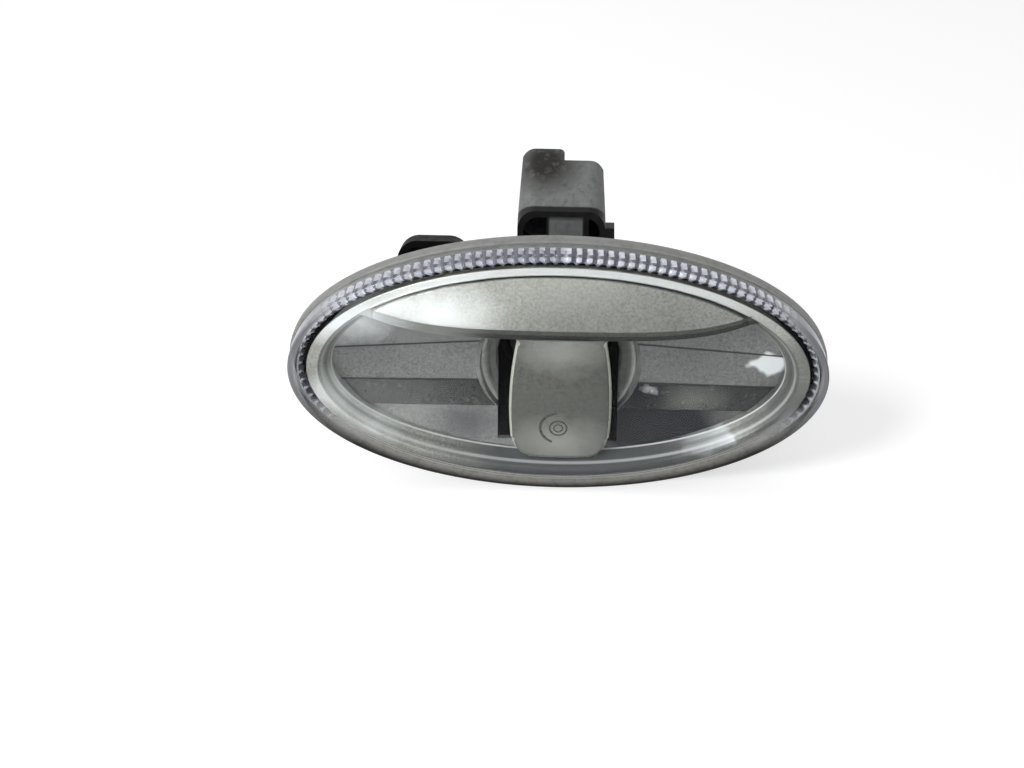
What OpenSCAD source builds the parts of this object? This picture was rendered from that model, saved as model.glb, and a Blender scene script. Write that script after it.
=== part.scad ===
// Oval side repeater lamp for a car wing.
// The lens faces -Y, +X runs along the lamp and +Z is up. The origin is the centre of the
// face that seats on the car panel. Most pieces are drawn in face coordinates, where x runs
// along the lamp, y is up and z is the distance in front of the lens foot.

/* [Lens] */
// Half length of the lens foot
lens_half_length = 58.3; // [54:0.1:64]
// Half height of the lens foot
lens_half_height = 29.2; // [27:0.1:32]
// Height of the side wall from the foot to the front corner
lens_wall_height = 9; // [8.6:0.1:11]
// Rise of the front dome above the front corner
lens_dome_rise = 3.6; // [3.4:0.1:6]
// Wall thickness of the lens
lens_wall = 2; // [1.6:0.1:2.2]
// Thickness of the lens's front skin
lens_skin = 1.6; // [1.4:0.1:1.8]
// Thickness of the foot flange
foot_height = 2.8; // [2.2:0.1:3]
// Step from the foot flange in to the side wall
foot_step = 0.5; // [0.3:0.1:0.7]
// Width of the smooth front border between the corner and the dome
border_width = 3.4; // [3.2:0.1:3.8]
// Number of prisms round the side wall
prism_count = 124; // [90:2:130]
// Depth of each prism
prism_depth = 1.1; // [0.6:0.1:1.3]

/* [Reflector] */
// Distance from the lens's side wall to the reflector rim's inner edge at the ends
rim_end_inset = 6.5; // [6:0.1:7]
// Distance from the lens's side wall to the reflector rim's inner edge at the sides
rim_side_inset = 5.1; // [4.8:0.1:5.3]
// Width of the sloping shelf inside the rim
shelf_width = 2.5; // [1.8:0.1:3]
// Depth of the sloping shelf
shelf_depth = 3.6; // [3:0.1:4]
// Wall thickness of the reflector
reflector_wall = 1.4; // [1:0.1:1.5]
// Radius of the bulb opening, as a share of the bowl's half height
bulb_opening_share = 0.65; // [0.62:0.01:0.66]
// Width of the conical collar round the bulb opening
collar_width = 3.5; // [2.5:0.1:4]
// Height of the hood's lower edge above the lamp's centre
hood_edge_height = 7.7; // [7:0.1:10]
// Radius of the hood's lower edge
hood_edge_radius = 240; // [180:5:400]
// Height of the darker bevelled lip of the hood
hood_lip = 2.7; // [1.5:0.1:3]
// Largest width of the bulb shield
shield_width = 22.3; // [20:0.1:24]
// Thickness of the bulb shield
shield_thickness = 1.6; // [1.2:0.1:1.8]

/* [Housing] */
// Depth of the shallow stage that the reflector's bowl sits in
stage_depth = 4.5; // [4.2:0.1:5]
// Distance from the lens foot's edge to the tub at the ends
tub_end_inset = 14.3; // [13:0.1:16]
// Distance from the lens foot's edge to the tub at the sides
tub_side_inset = 12.2; // [11.2:0.1:12.6]
// Depth of the tub behind the lens foot
tub_depth = 14; // [12:0.5:15]
// Wall thickness of the housing
tub_wall = 1.8; // [1.4:0.1:2]
// Thickness of the panel gasket
gasket_thickness = 1.5; // [1:0.1:2.5]
// Width of the panel gasket
gasket_width = 3.2; // [2.6:0.1:3.4]
// Radius of the hole that the bulb holder turns in
socket_radius = 11; // [10.5:0.1:11.2]
// Depth of the round turret behind the tub
turret_depth = 6; // [5:0.5:7]
// Inner width of the spring hoop
hoop_inner_width = 12.9; // [11:0.1:13.4]
// Thickness of the spring hoop
hoop_thickness = 1.5; // [1.2:0.1:1.8]

/* [Bulb holder] */
// Thickness of the holder's flange
flange_thickness = 2.4; // [2:0.1:3]
// Radius of the holder's flange
flange_radius = 15; // [14.6:0.1:15.4]
// Radial running clearance of the holder in its hole
turn_clearance = 0.05; // [0.03:0.01:0.1]
// Height of the rubber ring under the flange
seal_height = 1.5; // [1:0.1:2]
// Tilt of the connector above the lamp's axis, in degrees
connector_tilt = 30; // [26:1:34]
// Width of the connector shroud
shroud_width = 20; // [18:0.2:21]
// Height of the connector shroud
shroud_height = 13; // [12:0.2:14]
// Length of the connector shroud along its top
shroud_length = 14.6; // [13.6:0.2:17]
// Extra length of the shroud's long half
shroud_step = 3.2; // [2:0.1:4]
// Wall thickness of the connector shroud
shroud_wall = 1.3; // [1:0.1:1.6]
// Corner radius of the connector shroud
shroud_corner = 4; // [3:0.1:4.5]
// Width of the neck inside the shroud
neck_width = 9.6; // [9.2:0.1:10]
// Width of a connector blade
blade_width = 2.8; // [2.4:0.1:3.2]
// Thickness of a connector blade
blade_thickness = 0.8; // [0.6:0.1:0.9]
// Distance between the two blades
blade_pitch = 5; // [4.8:0.1:5.2]

/* [Bulb] */
// Diameter of the bulb's glass
bulb_diameter = 10; // [9:0.1:10.4]
// Length of the bulb over its wedge
bulb_length = 26.8; // [25.6:0.1:27]
// Thickness of the bulb's glass
glass_wall = 0.7; // [0.5:0.1:0.9]
// Width of the bulb's wedge
wedge_width = 9.5; // [9:0.1:9.6]
// Thickness of the bulb's wedge
wedge_thickness = 2.1; // [2:0.1:2.4]
// Length of the bulb's wedge
wedge_length = 8; // [7:0.1:8.5]
// Diameter of the lead wires
lead_diameter = 0.5; // [0.4:0.05:0.6]

/* [Hidden] */
$fn = 96;
eps = 0.01;
seat_gap = 0.1;

// Lens
wall_half_length = lens_half_length - foot_step;
wall_half_height = lens_half_height - foot_step;
corner_round = 0.5;
wall_draft = 0.1;
foot_bevel = 0.4;
inner_front = lens_wall_height - lens_skin;
prism_lip = 0.3;
prism_start = foot_height + prism_lip;
prism_slope = 1.2;
dome_rings = 5;

// Reflector
rim_front = inner_front - seat_gap;
rim_half_length = wall_half_length - rim_end_inset;
rim_half_height = wall_half_height - rim_side_inset;
shelf_back = rim_front - shelf_depth;
bowl_half_length = rim_half_length - shelf_width;
bowl_half_height = rim_half_height - shelf_width;
rim_sides = 120;
bulb_opening_radius = bulb_opening_share * bowl_half_height;
collar_outer = bulb_opening_radius + collar_width;
collar_edge = 0.3;
collar_back = -1;
collar_depth = 2.4;
hood_rise = 2;
hood_thickness = 1.6;
hood_edge_depth = 2;
hood_lip_start = 0.4;
hood_steps = 6;
facet_lines = [5.2, -5, -10.7];
facet_overlap = 0.4;
bowl_front = shelf_back - 0.2;
// Depths of the facets' edges from the top down: at the middle and at the rim.
facet_depths = [[3.4, bowl_front], [1.4, 3.3], [1.1, 3], [0.8, 1.9], [0, 1], [2.1, 2.4],
                [1.4, 1.7], [bowl_front, bowl_front]];
facet_tops = concat([rim_half_height], facet_lines);
facet_ends = [for (line = concat(facet_lines, [facet_overlap - rim_half_height]))
                line - facet_overlap];
// Each facet's upper and lower edge: height, depth at the middle and depth at the rim.
bowl_facets = [for (k = [0:3])
                 [concat([facet_tops[k]], facet_depths[2 * k]),
                  concat([facet_ends[k]], facet_depths[2 * k + 1])]];
slot_bottom = 2.1 - bowl_half_height;
slot_half_width = bulb_opening_radius - 0.5;
shield_widest = -9.5;
shield_bottom = -bowl_half_height - 0.6;
shield_side_radius = 85;
shield_corner = 5;
shield_x = 0.6;
shield_corner_inset = 0.6;
shield_bow_radius = 60;
shield_foot_width = 15;
shield_foot_height = 1.8;
shield_front = rim_front + 1;
shield_tilt = 3;

// Housing
stage_wall = 1.2;
bowl_clearance = 0.2;
stage_half_length = bowl_half_length + reflector_wall + bowl_clearance + stage_wall;
stage_half_height = bowl_half_height + reflector_wall + bowl_clearance + stage_wall;
tub_half_length = lens_half_length - tub_end_inset;
tub_half_height = lens_half_height - tub_side_inset;
plate_thickness = 2.2;
plate_half_length = lens_half_length - lens_wall - foot_step - seat_gap;
plate_half_height = lens_half_height - lens_wall - foot_step - seat_gap;
turret_radius = socket_radius + 4.5;
hook_width = 12;
hook_reach = 5;
hook_thickness = 2.2;
hook_panel_gap = 2.6;
hoop_x = 15.5 - tub_half_length;
hoop_top = tub_half_height + 2.6;
hoop_length = 6;
hoop_height = 14.2;
hoop_corner = 4.6;
hoop_tilt = 12;
hoop_tilt_drop = 7.2;
gasket_inset = 1.2;
turret_back = tub_depth + turret_depth;
lug_reach = 2;
lug_thickness = 1.8;
lug_angle = 40;
lug_gap = 0.15;
lug_turns = [30, 150, 270];
unlock_turn = 45;
stop_width = 6;
stop_gap = 1;
stop_clearance = 0.35;

// Bulb holder
barrel_radius = socket_radius - turn_clearance;
seal_squeeze = 0.05;
flange_front = turret_back + seal_squeeze + seal_height;
flange_back = flange_front + flange_thickness;
shroud_top = 23.9;
barrel_front = 9;
flange_middle = flange_front + 1.1;
web_thickness = 1.5;
rib_turns = [195:15:345];
rib_length = 3.4;
rib_width = 1.2;
rib_height = 0.9;
web_start = 4;
shroud_back = -9;
shroud_taper = 0.8;
step_x = 0.4;
neck_left = -3.4;
nib_reach = 2.2;
nib_length = 6.1;
nib_height = 5;
nib_start = -2.6;
nib_top = -8;
nib_corner = 0.9;
step_overlap = 4;
long_left_corner = 3.3;
long_right_corner = 1.2;
short_left_corner = 1;
short_right_corner = 3;
contact_gap = 0.02;
arm_width = 1.6;
wedge_end = flange_middle - arm_width / 2 - lead_diameter - 0.15;
arm_reach = wedge_thickness / 2 + lead_diameter + contact_gap + arm_width + 0.1;

wedge_clearance = 0.15;
cup_clearance = 0.4;
cup_depth = 1.2;
bend_height = 12;
bend_depth = 1.2;
arm_tip = 1.5;
blade_set_back = 3;

// Bulb
glass_radius = bulb_diameter / 2;
glass_front = bulb_length - wedge_end;
lead_top = -6;
filament_diameter = 0.6;

// Places children that are drawn in face coordinates.
module face_frame()
  translate([0, -gasket_thickness, 0])
    rotate([90, 0, 0])
      children();

// An ellipse as a stretched circle.
module oval(half_length, half_height)
  scale([1, half_height / half_length])
    circle(r = half_length, $fn = 180);

// A straight oval solid from one depth to another.
module oval_block(half_length, half_height, low, high)
  translate([0, 0, low])
    linear_extrude(height = high - low)
      oval(half_length, half_height);

// Lens: rings of points are lofted into one closed skin.
function oval_point(half_length, half_height, turn) =
  [half_length * cos(turn), half_height * sin(turn)];

// Pairs of arc length and angle round the side wall, so that the prisms have equal pitch.
arc_steps = 360;
function wall_point(i) = oval_point(wall_half_length, wall_half_height, i * 360 / arc_steps);
arc_table = [for (i = 0, s = 0; i <= arc_steps;
                  s = s + norm(wall_point(i + 1) - wall_point(i)), i = i + 1)
              [s, i * 360 / arc_steps]];
wall_perimeter = arc_table[arc_steps][0];
function turn_at(j, count) = lookup(wall_perimeter * j / count, arc_table);

// A ring of count points, inset from the side wall, at one depth.
function wall_ring(inset, depth, count) =
  [for (j = [0:count - 1])
    let (p = oval_point(wall_half_length - inset, wall_half_height - inset, turn_at(j, count)))
      [p[0], p[1], depth]];

// A ring whose odd points stand in by the prism depth.
function prism_ring(depth) =
  [for (j = [0:2 * prism_count - 1])
    let (inset = lens_wall + (j % 2) * prism_depth,
         p = oval_point(wall_half_length - inset, wall_half_height - inset,
                        turn_at(j, 2 * prism_count)))
      [p[0], p[1], depth]];

// A ring of the dome, at a share of its half sizes.
function dome_ring(inset, depth, share) =
  let (a = wall_half_length - border_width, b = wall_half_height - border_width)
    [for (j = [0:prism_count - 1])
      let (p = oval_point((a - inset) * share, (b - inset) * share, turn_at(j, prism_count)))
        [p[0], p[1], depth + lens_dome_rise * (1 - share * share)]];

lens_rings = concat(
  [wall_ring(-foot_step, 0, prism_count),
   wall_ring(-foot_step, foot_height - foot_bevel, prism_count),
   wall_ring(-foot_step * 0.4, foot_height, prism_count),
   wall_ring(0, foot_height, prism_count),
   wall_ring(wall_draft, lens_wall_height - corner_round, prism_count),
   wall_ring(wall_draft + corner_round * 0.3, lens_wall_height - corner_round * 0.3, prism_count),
   wall_ring(wall_draft + corner_round, lens_wall_height, prism_count)],
  [for (k = [0:dome_rings - 1]) dome_ring(0, lens_wall_height, 1 - k / dome_rings)],
  [[[0, 0, lens_wall_height + lens_dome_rise]]],
  [[[0, 0, inner_front + lens_dome_rise]]],
  [for (k = [dome_rings - 1:-1:0]) dome_ring(0, inner_front, 1 - k / dome_rings)],
  [wall_ring(lens_wall + 0.4, inner_front, prism_count),
   wall_ring(lens_wall, inner_front - prism_lip, prism_count),
   prism_ring(inner_front - prism_lip - prism_slope),
   prism_ring(prism_start + prism_slope),
   wall_ring(lens_wall, prism_start, prism_count),
   wall_ring(lens_wall, 0, prism_count)]);

// Index of a ring's first point.
ring_starts = [for (k = 0, s = 0; k < len(lens_rings); s = s + len(lens_rings[k]), k = k + 1) s];

// Triangles between two rings, which may differ in count by a factor of two, or be one point.
function band(a, b) =
  let (na = len(lens_rings[a]), nb = len(lens_rings[b]),
       sa = ring_starts[a], sb = ring_starts[b])
    na == 1 && nb == 1 ? [] :
    nb == 1 ? [for (i = [0:na - 1]) [sa + i, sb, sa + (i + 1) % na]] :
    na == 1 ? [for (i = [0:nb - 1]) [sa, sb + i, sb + (i + 1) % nb]] :
    na == nb ? [for (i = [0:na - 1], t = [0, 1])
      t == 0 ? [sa + i, sb + i, sb + (i + 1) % nb]
             : [sa + i, sb + (i + 1) % nb, sa + (i + 1) % na]] :
    nb > na ? [for (i = [0:na - 1], t = [0:2])
      t == 0 ? [sa + i, sb + 2 * i, sb + 2 * i + 1] :
      t == 1 ? [sa + i, sb + 2 * i + 1, sa + (i + 1) % na]
             : [sa + (i + 1) % na, sb + 2 * i + 1, sb + (2 * i + 2) % nb]] :
    [for (i = [0:nb - 1], t = [0:2])
      t == 0 ? [sa + 2 * i, sb + i, sa + 2 * i + 1] :
      t == 1 ? [sa + 2 * i + 1, sb + i, sb + (i + 1) % nb]
             : [sa + 2 * i + 1, sb + (i + 1) % nb, sa + (2 * i + 2) % na]];

module lens() {
  ring_count = len(lens_rings);
  points = [for (ring = lens_rings) each ring];
  skin = [for (k = [0:ring_count - 1]) each band(k, (k + 1) % ring_count)];
  color([0.86, 0.88, 0.9, 0.4])
    face_frame()
      polyhedron(points = points, faces = skin);
}

// Reflector: its ovals are many-sided, so that the walls meet edge to edge.
module rim_oval(half_length, half_height)
  polygon([for (j = [0:rim_sides - 1])
             oval_point(half_length, half_height, j * 360 / rim_sides)]);

module rim_block(half_length, half_height, low, high)
  translate([0, 0, low])
    linear_extrude(height = high - low)
      rim_oval(half_length, half_height);

// One edge of a facet: a thin bar at its height, with its depth near the collar or the tip.
module facet_edge(x, height, front)
  translate([x, height, front - reflector_wall])
    cube([eps, eps, reflector_wall]);

// The stepped bowl: four facets on each wing, each spanned between its two edges.
module bowl_floor()
  intersection() {
    union()
      for (side = [-1, 1], facet = bowl_facets)
        hull() {
          facet_edge(0, facet[0][0], facet[0][1]);
          facet_edge(side * rim_half_length, facet[0][0], facet[0][2]);
          facet_edge(0, facet[1][0], facet[1][1]);
          facet_edge(side * rim_half_length, facet[1][0], facet[1][2]);
        }
    rim_block(bowl_half_length + 0.5, bowl_half_height + 0.5, -5, rim_front);
  }

// The bulb opening is round, with a slot below it for the foot of the shield.
module bulb_opening()
  translate([0, 0, -8])
    linear_extrude(height = 8 + shelf_back + 0.2) {
      circle(r = bulb_opening_radius);
      translate([-slot_half_width, slot_bottom])
        square([2 * slot_half_width, -slot_bottom]);
    }

// Conical collar round the bulb opening, sunk towards the bulb.
module collar_cut() {
  translate([0, 0, collar_back])
    cylinder(r1 = bulb_opening_radius + collar_edge, r2 = collar_outer, h = collar_depth);
  translate([0, 0, collar_back + collar_depth - eps])
    cylinder(r = collar_outer, h = shelf_back);
}

module collar_backing()
  translate([0, 0, collar_back - reflector_wall])
    cylinder(r = collar_outer + reflector_wall, h = collar_depth + reflector_wall);

module hood_outline(edge)
  translate([0, edge + hood_edge_radius])
    circle(r = hood_edge_radius, $fn = 360);

// Solid under a shallow dome over the rim, down to a base below it.
module rim_dome(front, rise, base, grow) {
  a = rim_half_length + grow;
  b = rim_half_height + grow;
  translate([0, 0, front])
    scale([1, b / a, 1])
      rotate_extrude($fn = rim_sides)
        polygon(concat([[0, base - front], [a, base - front]],
                       [for (k = [0:hood_steps])
                          let (share = 1 - k / hood_steps)
                            [a * share, rise * (1 - share * share)]]));
}

// The hood is a domed crescent, with its lip bevelled towards the bulb shield.
module hood()
  difference() {
    intersection() {
      rim_dome(rim_front, hood_rise, 0, 0.6);
      union() {
        translate([0, 0, rim_front - hood_thickness])
          linear_extrude(height = hood_thickness - hood_lip_start)
            hood_outline(hood_edge_height);
        translate([0, hood_edge_height + hood_edge_radius, rim_front - hood_lip_start - eps])
          cylinder(r1 = hood_edge_radius, r2 = hood_edge_radius - hood_lip,
                   h = hood_edge_depth + hood_lip_start, $fn = 360);
      }
    }
    rim_dome(rim_front - hood_thickness, hood_rise, -2, 1.2);
  }

module shield_outline() {
  half = shield_width / 2;
  offset_x = shield_side_radius - half;
  intersection() {
    translate([offset_x, shield_widest])
      circle(r = shield_side_radius, $fn = 360);
    translate([-offset_x, shield_widest])
      circle(r = shield_side_radius, $fn = 360);
    union() {
      translate([-half, shield_bottom + shield_corner])
        square([2 * half, hood_edge_height + 2.5 - shield_bottom - shield_corner]);
      translate([-half + shield_corner, shield_bottom])
        square([2 * (half - shield_corner), 2 * shield_corner]);
      for (side = [-1, 1])
        translate([side * (half - shield_corner - shield_corner_inset),
                   shield_bottom + shield_corner])
          circle(r = shield_corner);
    }
  }
}

// Bulb shield: a bowed tongue that hangs from the hood over the bulb opening.
module shield()
  intersection() {
    translate([shield_x, 0, 0])
      linear_extrude(height = 2 * shield_front)
        shield_outline();
    translate([shield_x, 0, shield_front - shield_bow_radius])
      rotate([90 + shield_tilt, 0, 0])
        linear_extrude(height = 3 * rim_half_height, center = true)
          difference() {
            circle(r = shield_bow_radius, $fn = 360);
            circle(r = shield_bow_radius - shield_thickness, $fn = 360);
          }
  }

// The shield's foot stands on the shelf's lower end.
module shield_foot()
  translate([shield_x - shield_foot_width / 2, shield_bottom - shield_foot_height / 3,
             shelf_back - facet_overlap])
    cube([shield_foot_width, shield_foot_height, rim_front - shelf_back + facet_overlap]);

// The rim stands on the housing by its skirt, and its shelf slopes down to the bowl.
module reflector_rim() {
  outer_length = rim_half_length + reflector_wall;
  outer_height = rim_half_height + reflector_wall;
  difference() {
    rim_block(outer_length, outer_height, plate_thickness, rim_front);
    rim_block(rim_half_length, rim_half_height, plate_thickness - 1, shelf_back - 1);
    rim_block(bowl_half_length, bowl_half_height, shelf_back - 2, shelf_back);
    translate([0, 0, shelf_back])
      linear_extrude(height = shelf_depth, slices = 1, $fn = 0,
                     scale = [rim_half_length / bowl_half_length,
                              rim_half_height / bowl_half_height])
        rim_oval(bowl_half_length, bowl_half_height);
    rim_block(rim_half_length, rim_half_height, rim_front, rim_front + 1);
  }
}

module bowl_wall()
  difference() {
    rim_block(bowl_half_length + reflector_wall, bowl_half_height + reflector_wall,
              -1, shelf_back);
    rim_block(bowl_half_length, bowl_half_height, -2, shelf_back + 1);
  }

module reflector()
  color([0.55, 0.56, 0.53])
    face_frame() {
      difference() {
        union() {
          reflector_rim();
          bowl_wall();
          bowl_floor();
          collar_backing();
        }
        bulb_opening();
        collar_cut();
      }
      hood();
      shield();
      shield_foot();
    }

// Housing: the hoop is an arch with a flat top and round shoulders.
module hoop_profile(half, height, corner) {
  translate([-half, -height])
    square([2 * half, height - corner]);
  translate([corner - half, -height])
    square([2 * (half - corner), height]);
  for (side = [-1, 1])
    translate([side * (half - corner), -corner])
      circle(r = corner);
}

module hoop() {
  outer = hoop_inner_width / 2 + hoop_thickness;
  inner = hoop_inner_width / 2;
  inner_corner = hoop_corner - hoop_thickness;
  translate([hoop_x, hoop_top - hoop_tilt_drop, -tub_depth - 1])
    rotate([-hoop_tilt, 0, 0])
      translate([0, hoop_tilt_drop, -hoop_length])
        linear_extrude(height = hoop_length)
          difference() {
            hoop_profile(outer, hoop_height, hoop_corner);
            translate([0, -hoop_thickness])
              hoop_profile(inner, hoop_height, inner_corner);
          }
}

// Fixed hook that goes behind the panel at the other end.
module end_hook()
  translate([tub_half_length - hook_reach, -hook_width / 2,
             -stage_depth - hook_panel_gap - hook_thickness])
    cube([2 * hook_reach, hook_width, hook_thickness]);

module turret()
  translate([0, 0, -turret_back])
    cylinder(r = turret_radius, h = turret_depth + tub_wall);

module lug_notches(extra)
  for (turn = lug_turns)
    rotate([0, 0, turn - unlock_turn])
      translate([0, 0, -turret_back - 1])
        intersection() {
          cylinder(r = socket_radius + lug_reach + extra, h = tub_wall + 2);
          linear_extrude(height = tub_wall + 2)
            polygon([[0, 0], 40 * oval_point(1, 1, -lug_angle / 2 - 2),
                     40 * oval_point(1, 1, lug_angle / 2 + 2)]);
        }

// Stops inside the turret that the lugs come up against when the holder is locked.
module lug_stops()
  for (turn = lug_turns)
    rotate([0, 0, turn + lug_angle / 2 + stop_gap])
      translate([0, 0, -turret_back + tub_wall - eps])
        rotate_extrude(angle = stop_width)
          translate([socket_radius + stop_clearance, 0])
            square([turret_radius - tub_wall - socket_radius, lug_gap + lug_thickness]);

module housing()
  color([0.17, 0.17, 0.17])
    face_frame() {
      difference() {
        union() {
          oval_block(plate_half_length, plate_half_height, 0, plate_thickness);
          oval_block(stage_half_length, stage_half_height, -stage_depth, 0.5);
          oval_block(tub_half_length, tub_half_height, -tub_depth, 0.5);
          turret();
          end_hook();
        }
        oval_block(stage_half_length - stage_wall, stage_half_height - stage_wall,
                   -stage_depth + stage_wall, plate_thickness + 1);
        oval_block(tub_half_length - tub_wall, tub_half_height - tub_wall,
                   -tub_depth + tub_wall, plate_thickness + 1);
        translate([0, 0, -turret_back + tub_wall])
          cylinder(r = turret_radius - tub_wall, h = turret_back);
        translate([0, 0, -turret_back - 1])
          cylinder(r = socket_radius, h = tub_wall + 2);
        lug_notches(0.3);
      }
      hoop();
      lug_stops();
    }

// A flat slab cut to an oval ring, so that its seat on the panel is one plane.
module panel_gasket() {
  length = lens_half_length - gasket_inset;
  height = lens_half_height - gasket_inset;
  color([0.1, 0.1, 0.1])
    face_frame()
      intersection() {
        translate([-lens_half_length, -lens_half_height, -gasket_thickness])
          cube([2 * lens_half_length, 2 * lens_half_height, gasket_thickness]);
        translate([0, 0, -2 * gasket_thickness])
          linear_extrude(height = 3 * gasket_thickness)
            difference() {
              oval(length, height);
              oval(length - gasket_width, height - gasket_width);
            }
      }
}

// Connector frame: x across, y along the shroud's top towards the plug, z up from its top.
module connector_frame()
  translate([0, shroud_top, -flange_back])
    rotate([connector_tilt - 90, 0, 0])
      children();

// Rectangle with its two far corners rounded.
module round_end(left, right, near, far, left_corner, right_corner)
  difference() {
    translate([left, near])
      square([right - left, far - near]);
    translate([left, far - left_corner])
      difference() {
        translate([-1, 0])
          square([left_corner + 1, left_corner + 1]);
        translate([left_corner, 0])
          circle(r = left_corner);
      }
    translate([right - right_corner, far - right_corner])
      difference() {
        square([right_corner + 1, right_corner + 1]);
        circle(r = right_corner);
      }
  }

// Rectangle with four equal round corners, centred across and hung below the x axis.
module round_tube(width, height, corner) {
  half = width / 2;
  translate([-half + corner, -height])
    square([width - 2 * corner, height]);
  translate([-half, -height + corner])
    square([width, height - 2 * corner]);
  for (side = [-1, 1], low = [corner - height, -corner])
    translate([side * (half - corner), low])
      circle(r = corner);
}

// Top view of the shroud: the left half is longer, and both sides taper towards the plug.
module shroud_plan() {
  half = shroud_width / 2;
  far = shroud_length + shroud_step;
  intersection() {
    union() {
      round_end(-half, step_x, shroud_back, far, long_left_corner, long_right_corner);
      round_end(step_x - step_overlap, half, shroud_back, shroud_length,
                short_left_corner, short_right_corner);
    }
    polygon([[-half, shroud_back], [-half, 0], [-half + shroud_taper, far],
             [half - shroud_taper, far], [half, 0], [half, shroud_back]]);
  }
}

module shroud_section(inset, near, far)
  translate([0, far, -inset])
    rotate([90, 0, 0])
      linear_extrude(height = far - near)
        round_tube(shroud_width - 2 * inset, shroud_height - 2 * inset,
                   shroud_corner - inset / 2);

module shroud_solid()
  intersection() {
    shroud_section(0, shroud_back, shroud_length + shroud_step);
    translate([0, 0, -shroud_height - 1])
      linear_extrude(height = shroud_height + 2)
        shroud_plan();
  }

// Everything behind the flange's rear face.
module behind_flange(start)
  translate([-50, -50, -start - 60])
    cube([100, 100, 60]);

module shroud()
  intersection() {
    connector_frame()
      difference() {
        shroud_solid();
        difference() {
          shroud_section(shroud_wall, shroud_back - 1, web_start);
          translate([neck_left, shroud_back - 2, -shroud_height])
            cube([neck_width, web_start - shroud_back + 4, shroud_height]);
        }
        shroud_section(shroud_wall + shroud_taper, web_start + web_thickness,
                       shroud_length + shroud_step + 1);
      }
    behind_flange(flange_back - eps);
  }

// Small nib on the shroud's side that the plug's latch clips over.
module latch_nib()
  connector_frame()
    translate([shroud_width / 2 - 1, nib_start, nib_top])
      rotate([0, 90, 0])
        rotate([0, 0, 90])
          linear_extrude(height = nib_reach + 1)
            translate([nib_length / 2, 0])
              round_tube(nib_length, nib_height, nib_corner);

module holder_lugs()
  translate([0, 0, -turret_back + tub_wall + lug_gap])
    for (turn = lug_turns)
      rotate([0, 0, turn])
        intersection() {
          cylinder(r = socket_radius + lug_reach - 0.3, h = lug_thickness);
          linear_extrude(height = lug_thickness)
            polygon([[0, 0], 40 * oval_point(1, 1, -lug_angle / 2),
                     40 * oval_point(1, 1, lug_angle / 2)]);
        }

// Short ribs round the flange's rear that fingers grip to turn the holder.
module grip_ribs()
  intersection() {
    translate([0, 0, -flange_back - rib_height])
      cylinder(r = flange_radius - 0.3, h = rib_height + 1);
    for (turn = rib_turns)
      rotate([0, 0, turn])
        translate([flange_radius - rib_length, -rib_width / 2, -flange_back - rib_height])
          cube([rib_length, rib_width, rib_height + eps]);
  }

// One side of a strip of constant width that follows a path, with mitred corners.
function strip_side(path, half) =
  [for (i = [0:len(path) - 1])
    let (last = len(path) - 1,
         before = i == 0 ? path[1] - path[0] : path[i] - path[i - 1],
         after = i == last ? before : path[i + 1] - path[i],
         a = before / norm(before), b = after / norm(after), sum = a + b)
      path[i] + half * [-sum[1], sum[0]] / (1 + a * b)];

module strip(path, width) {
  left = strip_side(path, width / 2);
  right = strip_side(path, -width / 2);
  polygon(concat(left, [for (i = [len(right) - 1:-1:0]) right[i]]));
}

// Turns a point of the connector frame into height and depth behind the lens foot.
function connector_point(along, up) =
  [shroud_top + along * sin(connector_tilt) + up * cos(connector_tilt),
   flange_back + along * cos(connector_tilt) - up * sin(connector_tilt)];

// Side view of a terminal, as height against depth. It is a flat stamping.
module terminal_profile(side, clearance) {
  middle = -shroud_height / 2;
  arm_height = wedge_thickness / 2 + lead_diameter + contact_gap + arm_width / 2;
  end_gap = clearance / 2;
  turn_down = [bend_height, flange_middle + bend_depth];
  corner = [-side * arm_height, flange_middle];
  arm_end = [-side * arm_height, wedge_end - wedge_length + arm_tip - end_gap];
  strip([connector_point(web_start - blade_set_back - end_gap, middle),
         connector_point(shroud_length - blade_set_back + end_gap, middle)],
        blade_width + clearance);
  strip([arm_end, corner, turn_down, connector_point(web_start - 2, middle)],
        arm_width + clearance);
}

module terminal(side, clearance)
  face_frame()
    translate([side * blade_pitch / 2 - (blade_thickness + clearance) / 2, 0, 0])
      rotate([0, 90, 0])
        rotate([0, 0, 90])
          linear_extrude(height = blade_thickness + clearance)
            mirror([0, 1])
              terminal_profile(side, clearance);

// Slot for the bulb's wedge, with grooves for its leads, and a round cup for its glass.
module wedge_socket() {
  slot_width = wedge_width + 2 * wedge_clearance;
  slot_height = wedge_thickness + 2 * wedge_clearance;
  translate([-slot_width / 2, -slot_height / 2, -wedge_end - seat_gap])
    cube([slot_width, slot_height, wedge_end]);
  for (side = [-1, 1])
    translate([side * blade_pitch / 2 - lead_diameter, side > 0 ? -arm_reach : 0,
               -wedge_end - lead_diameter - seat_gap])
      cube([2 * lead_diameter, arm_reach, wedge_end]);
  translate([0, 0, -(wedge_end - wedge_length + cup_depth)])
    cylinder(r = glass_radius + cup_clearance, h = wedge_end);
}

module bulb_holder()
  color([0.36, 0.37, 0.37])
    difference() {
      face_frame()
        difference() {
          union() {
            translate([0, 0, -flange_back])
              cylinder(r = flange_radius, h = flange_thickness);
            translate([0, 0, -flange_front - eps])
              cylinder(r = barrel_radius, h = flange_front - barrel_front);
            holder_lugs();
            shroud();
            latch_nib();
            grip_ribs();
          }
          wedge_socket();
        }
      terminal(-1, 0.1);
      terminal(1, 0.1);
    }

module terminal_left()
  color([0.75, 0.62, 0.35])
    terminal(-1, 0);

module terminal_right()
  color([0.75, 0.62, 0.35])
    terminal(1, 0);

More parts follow.
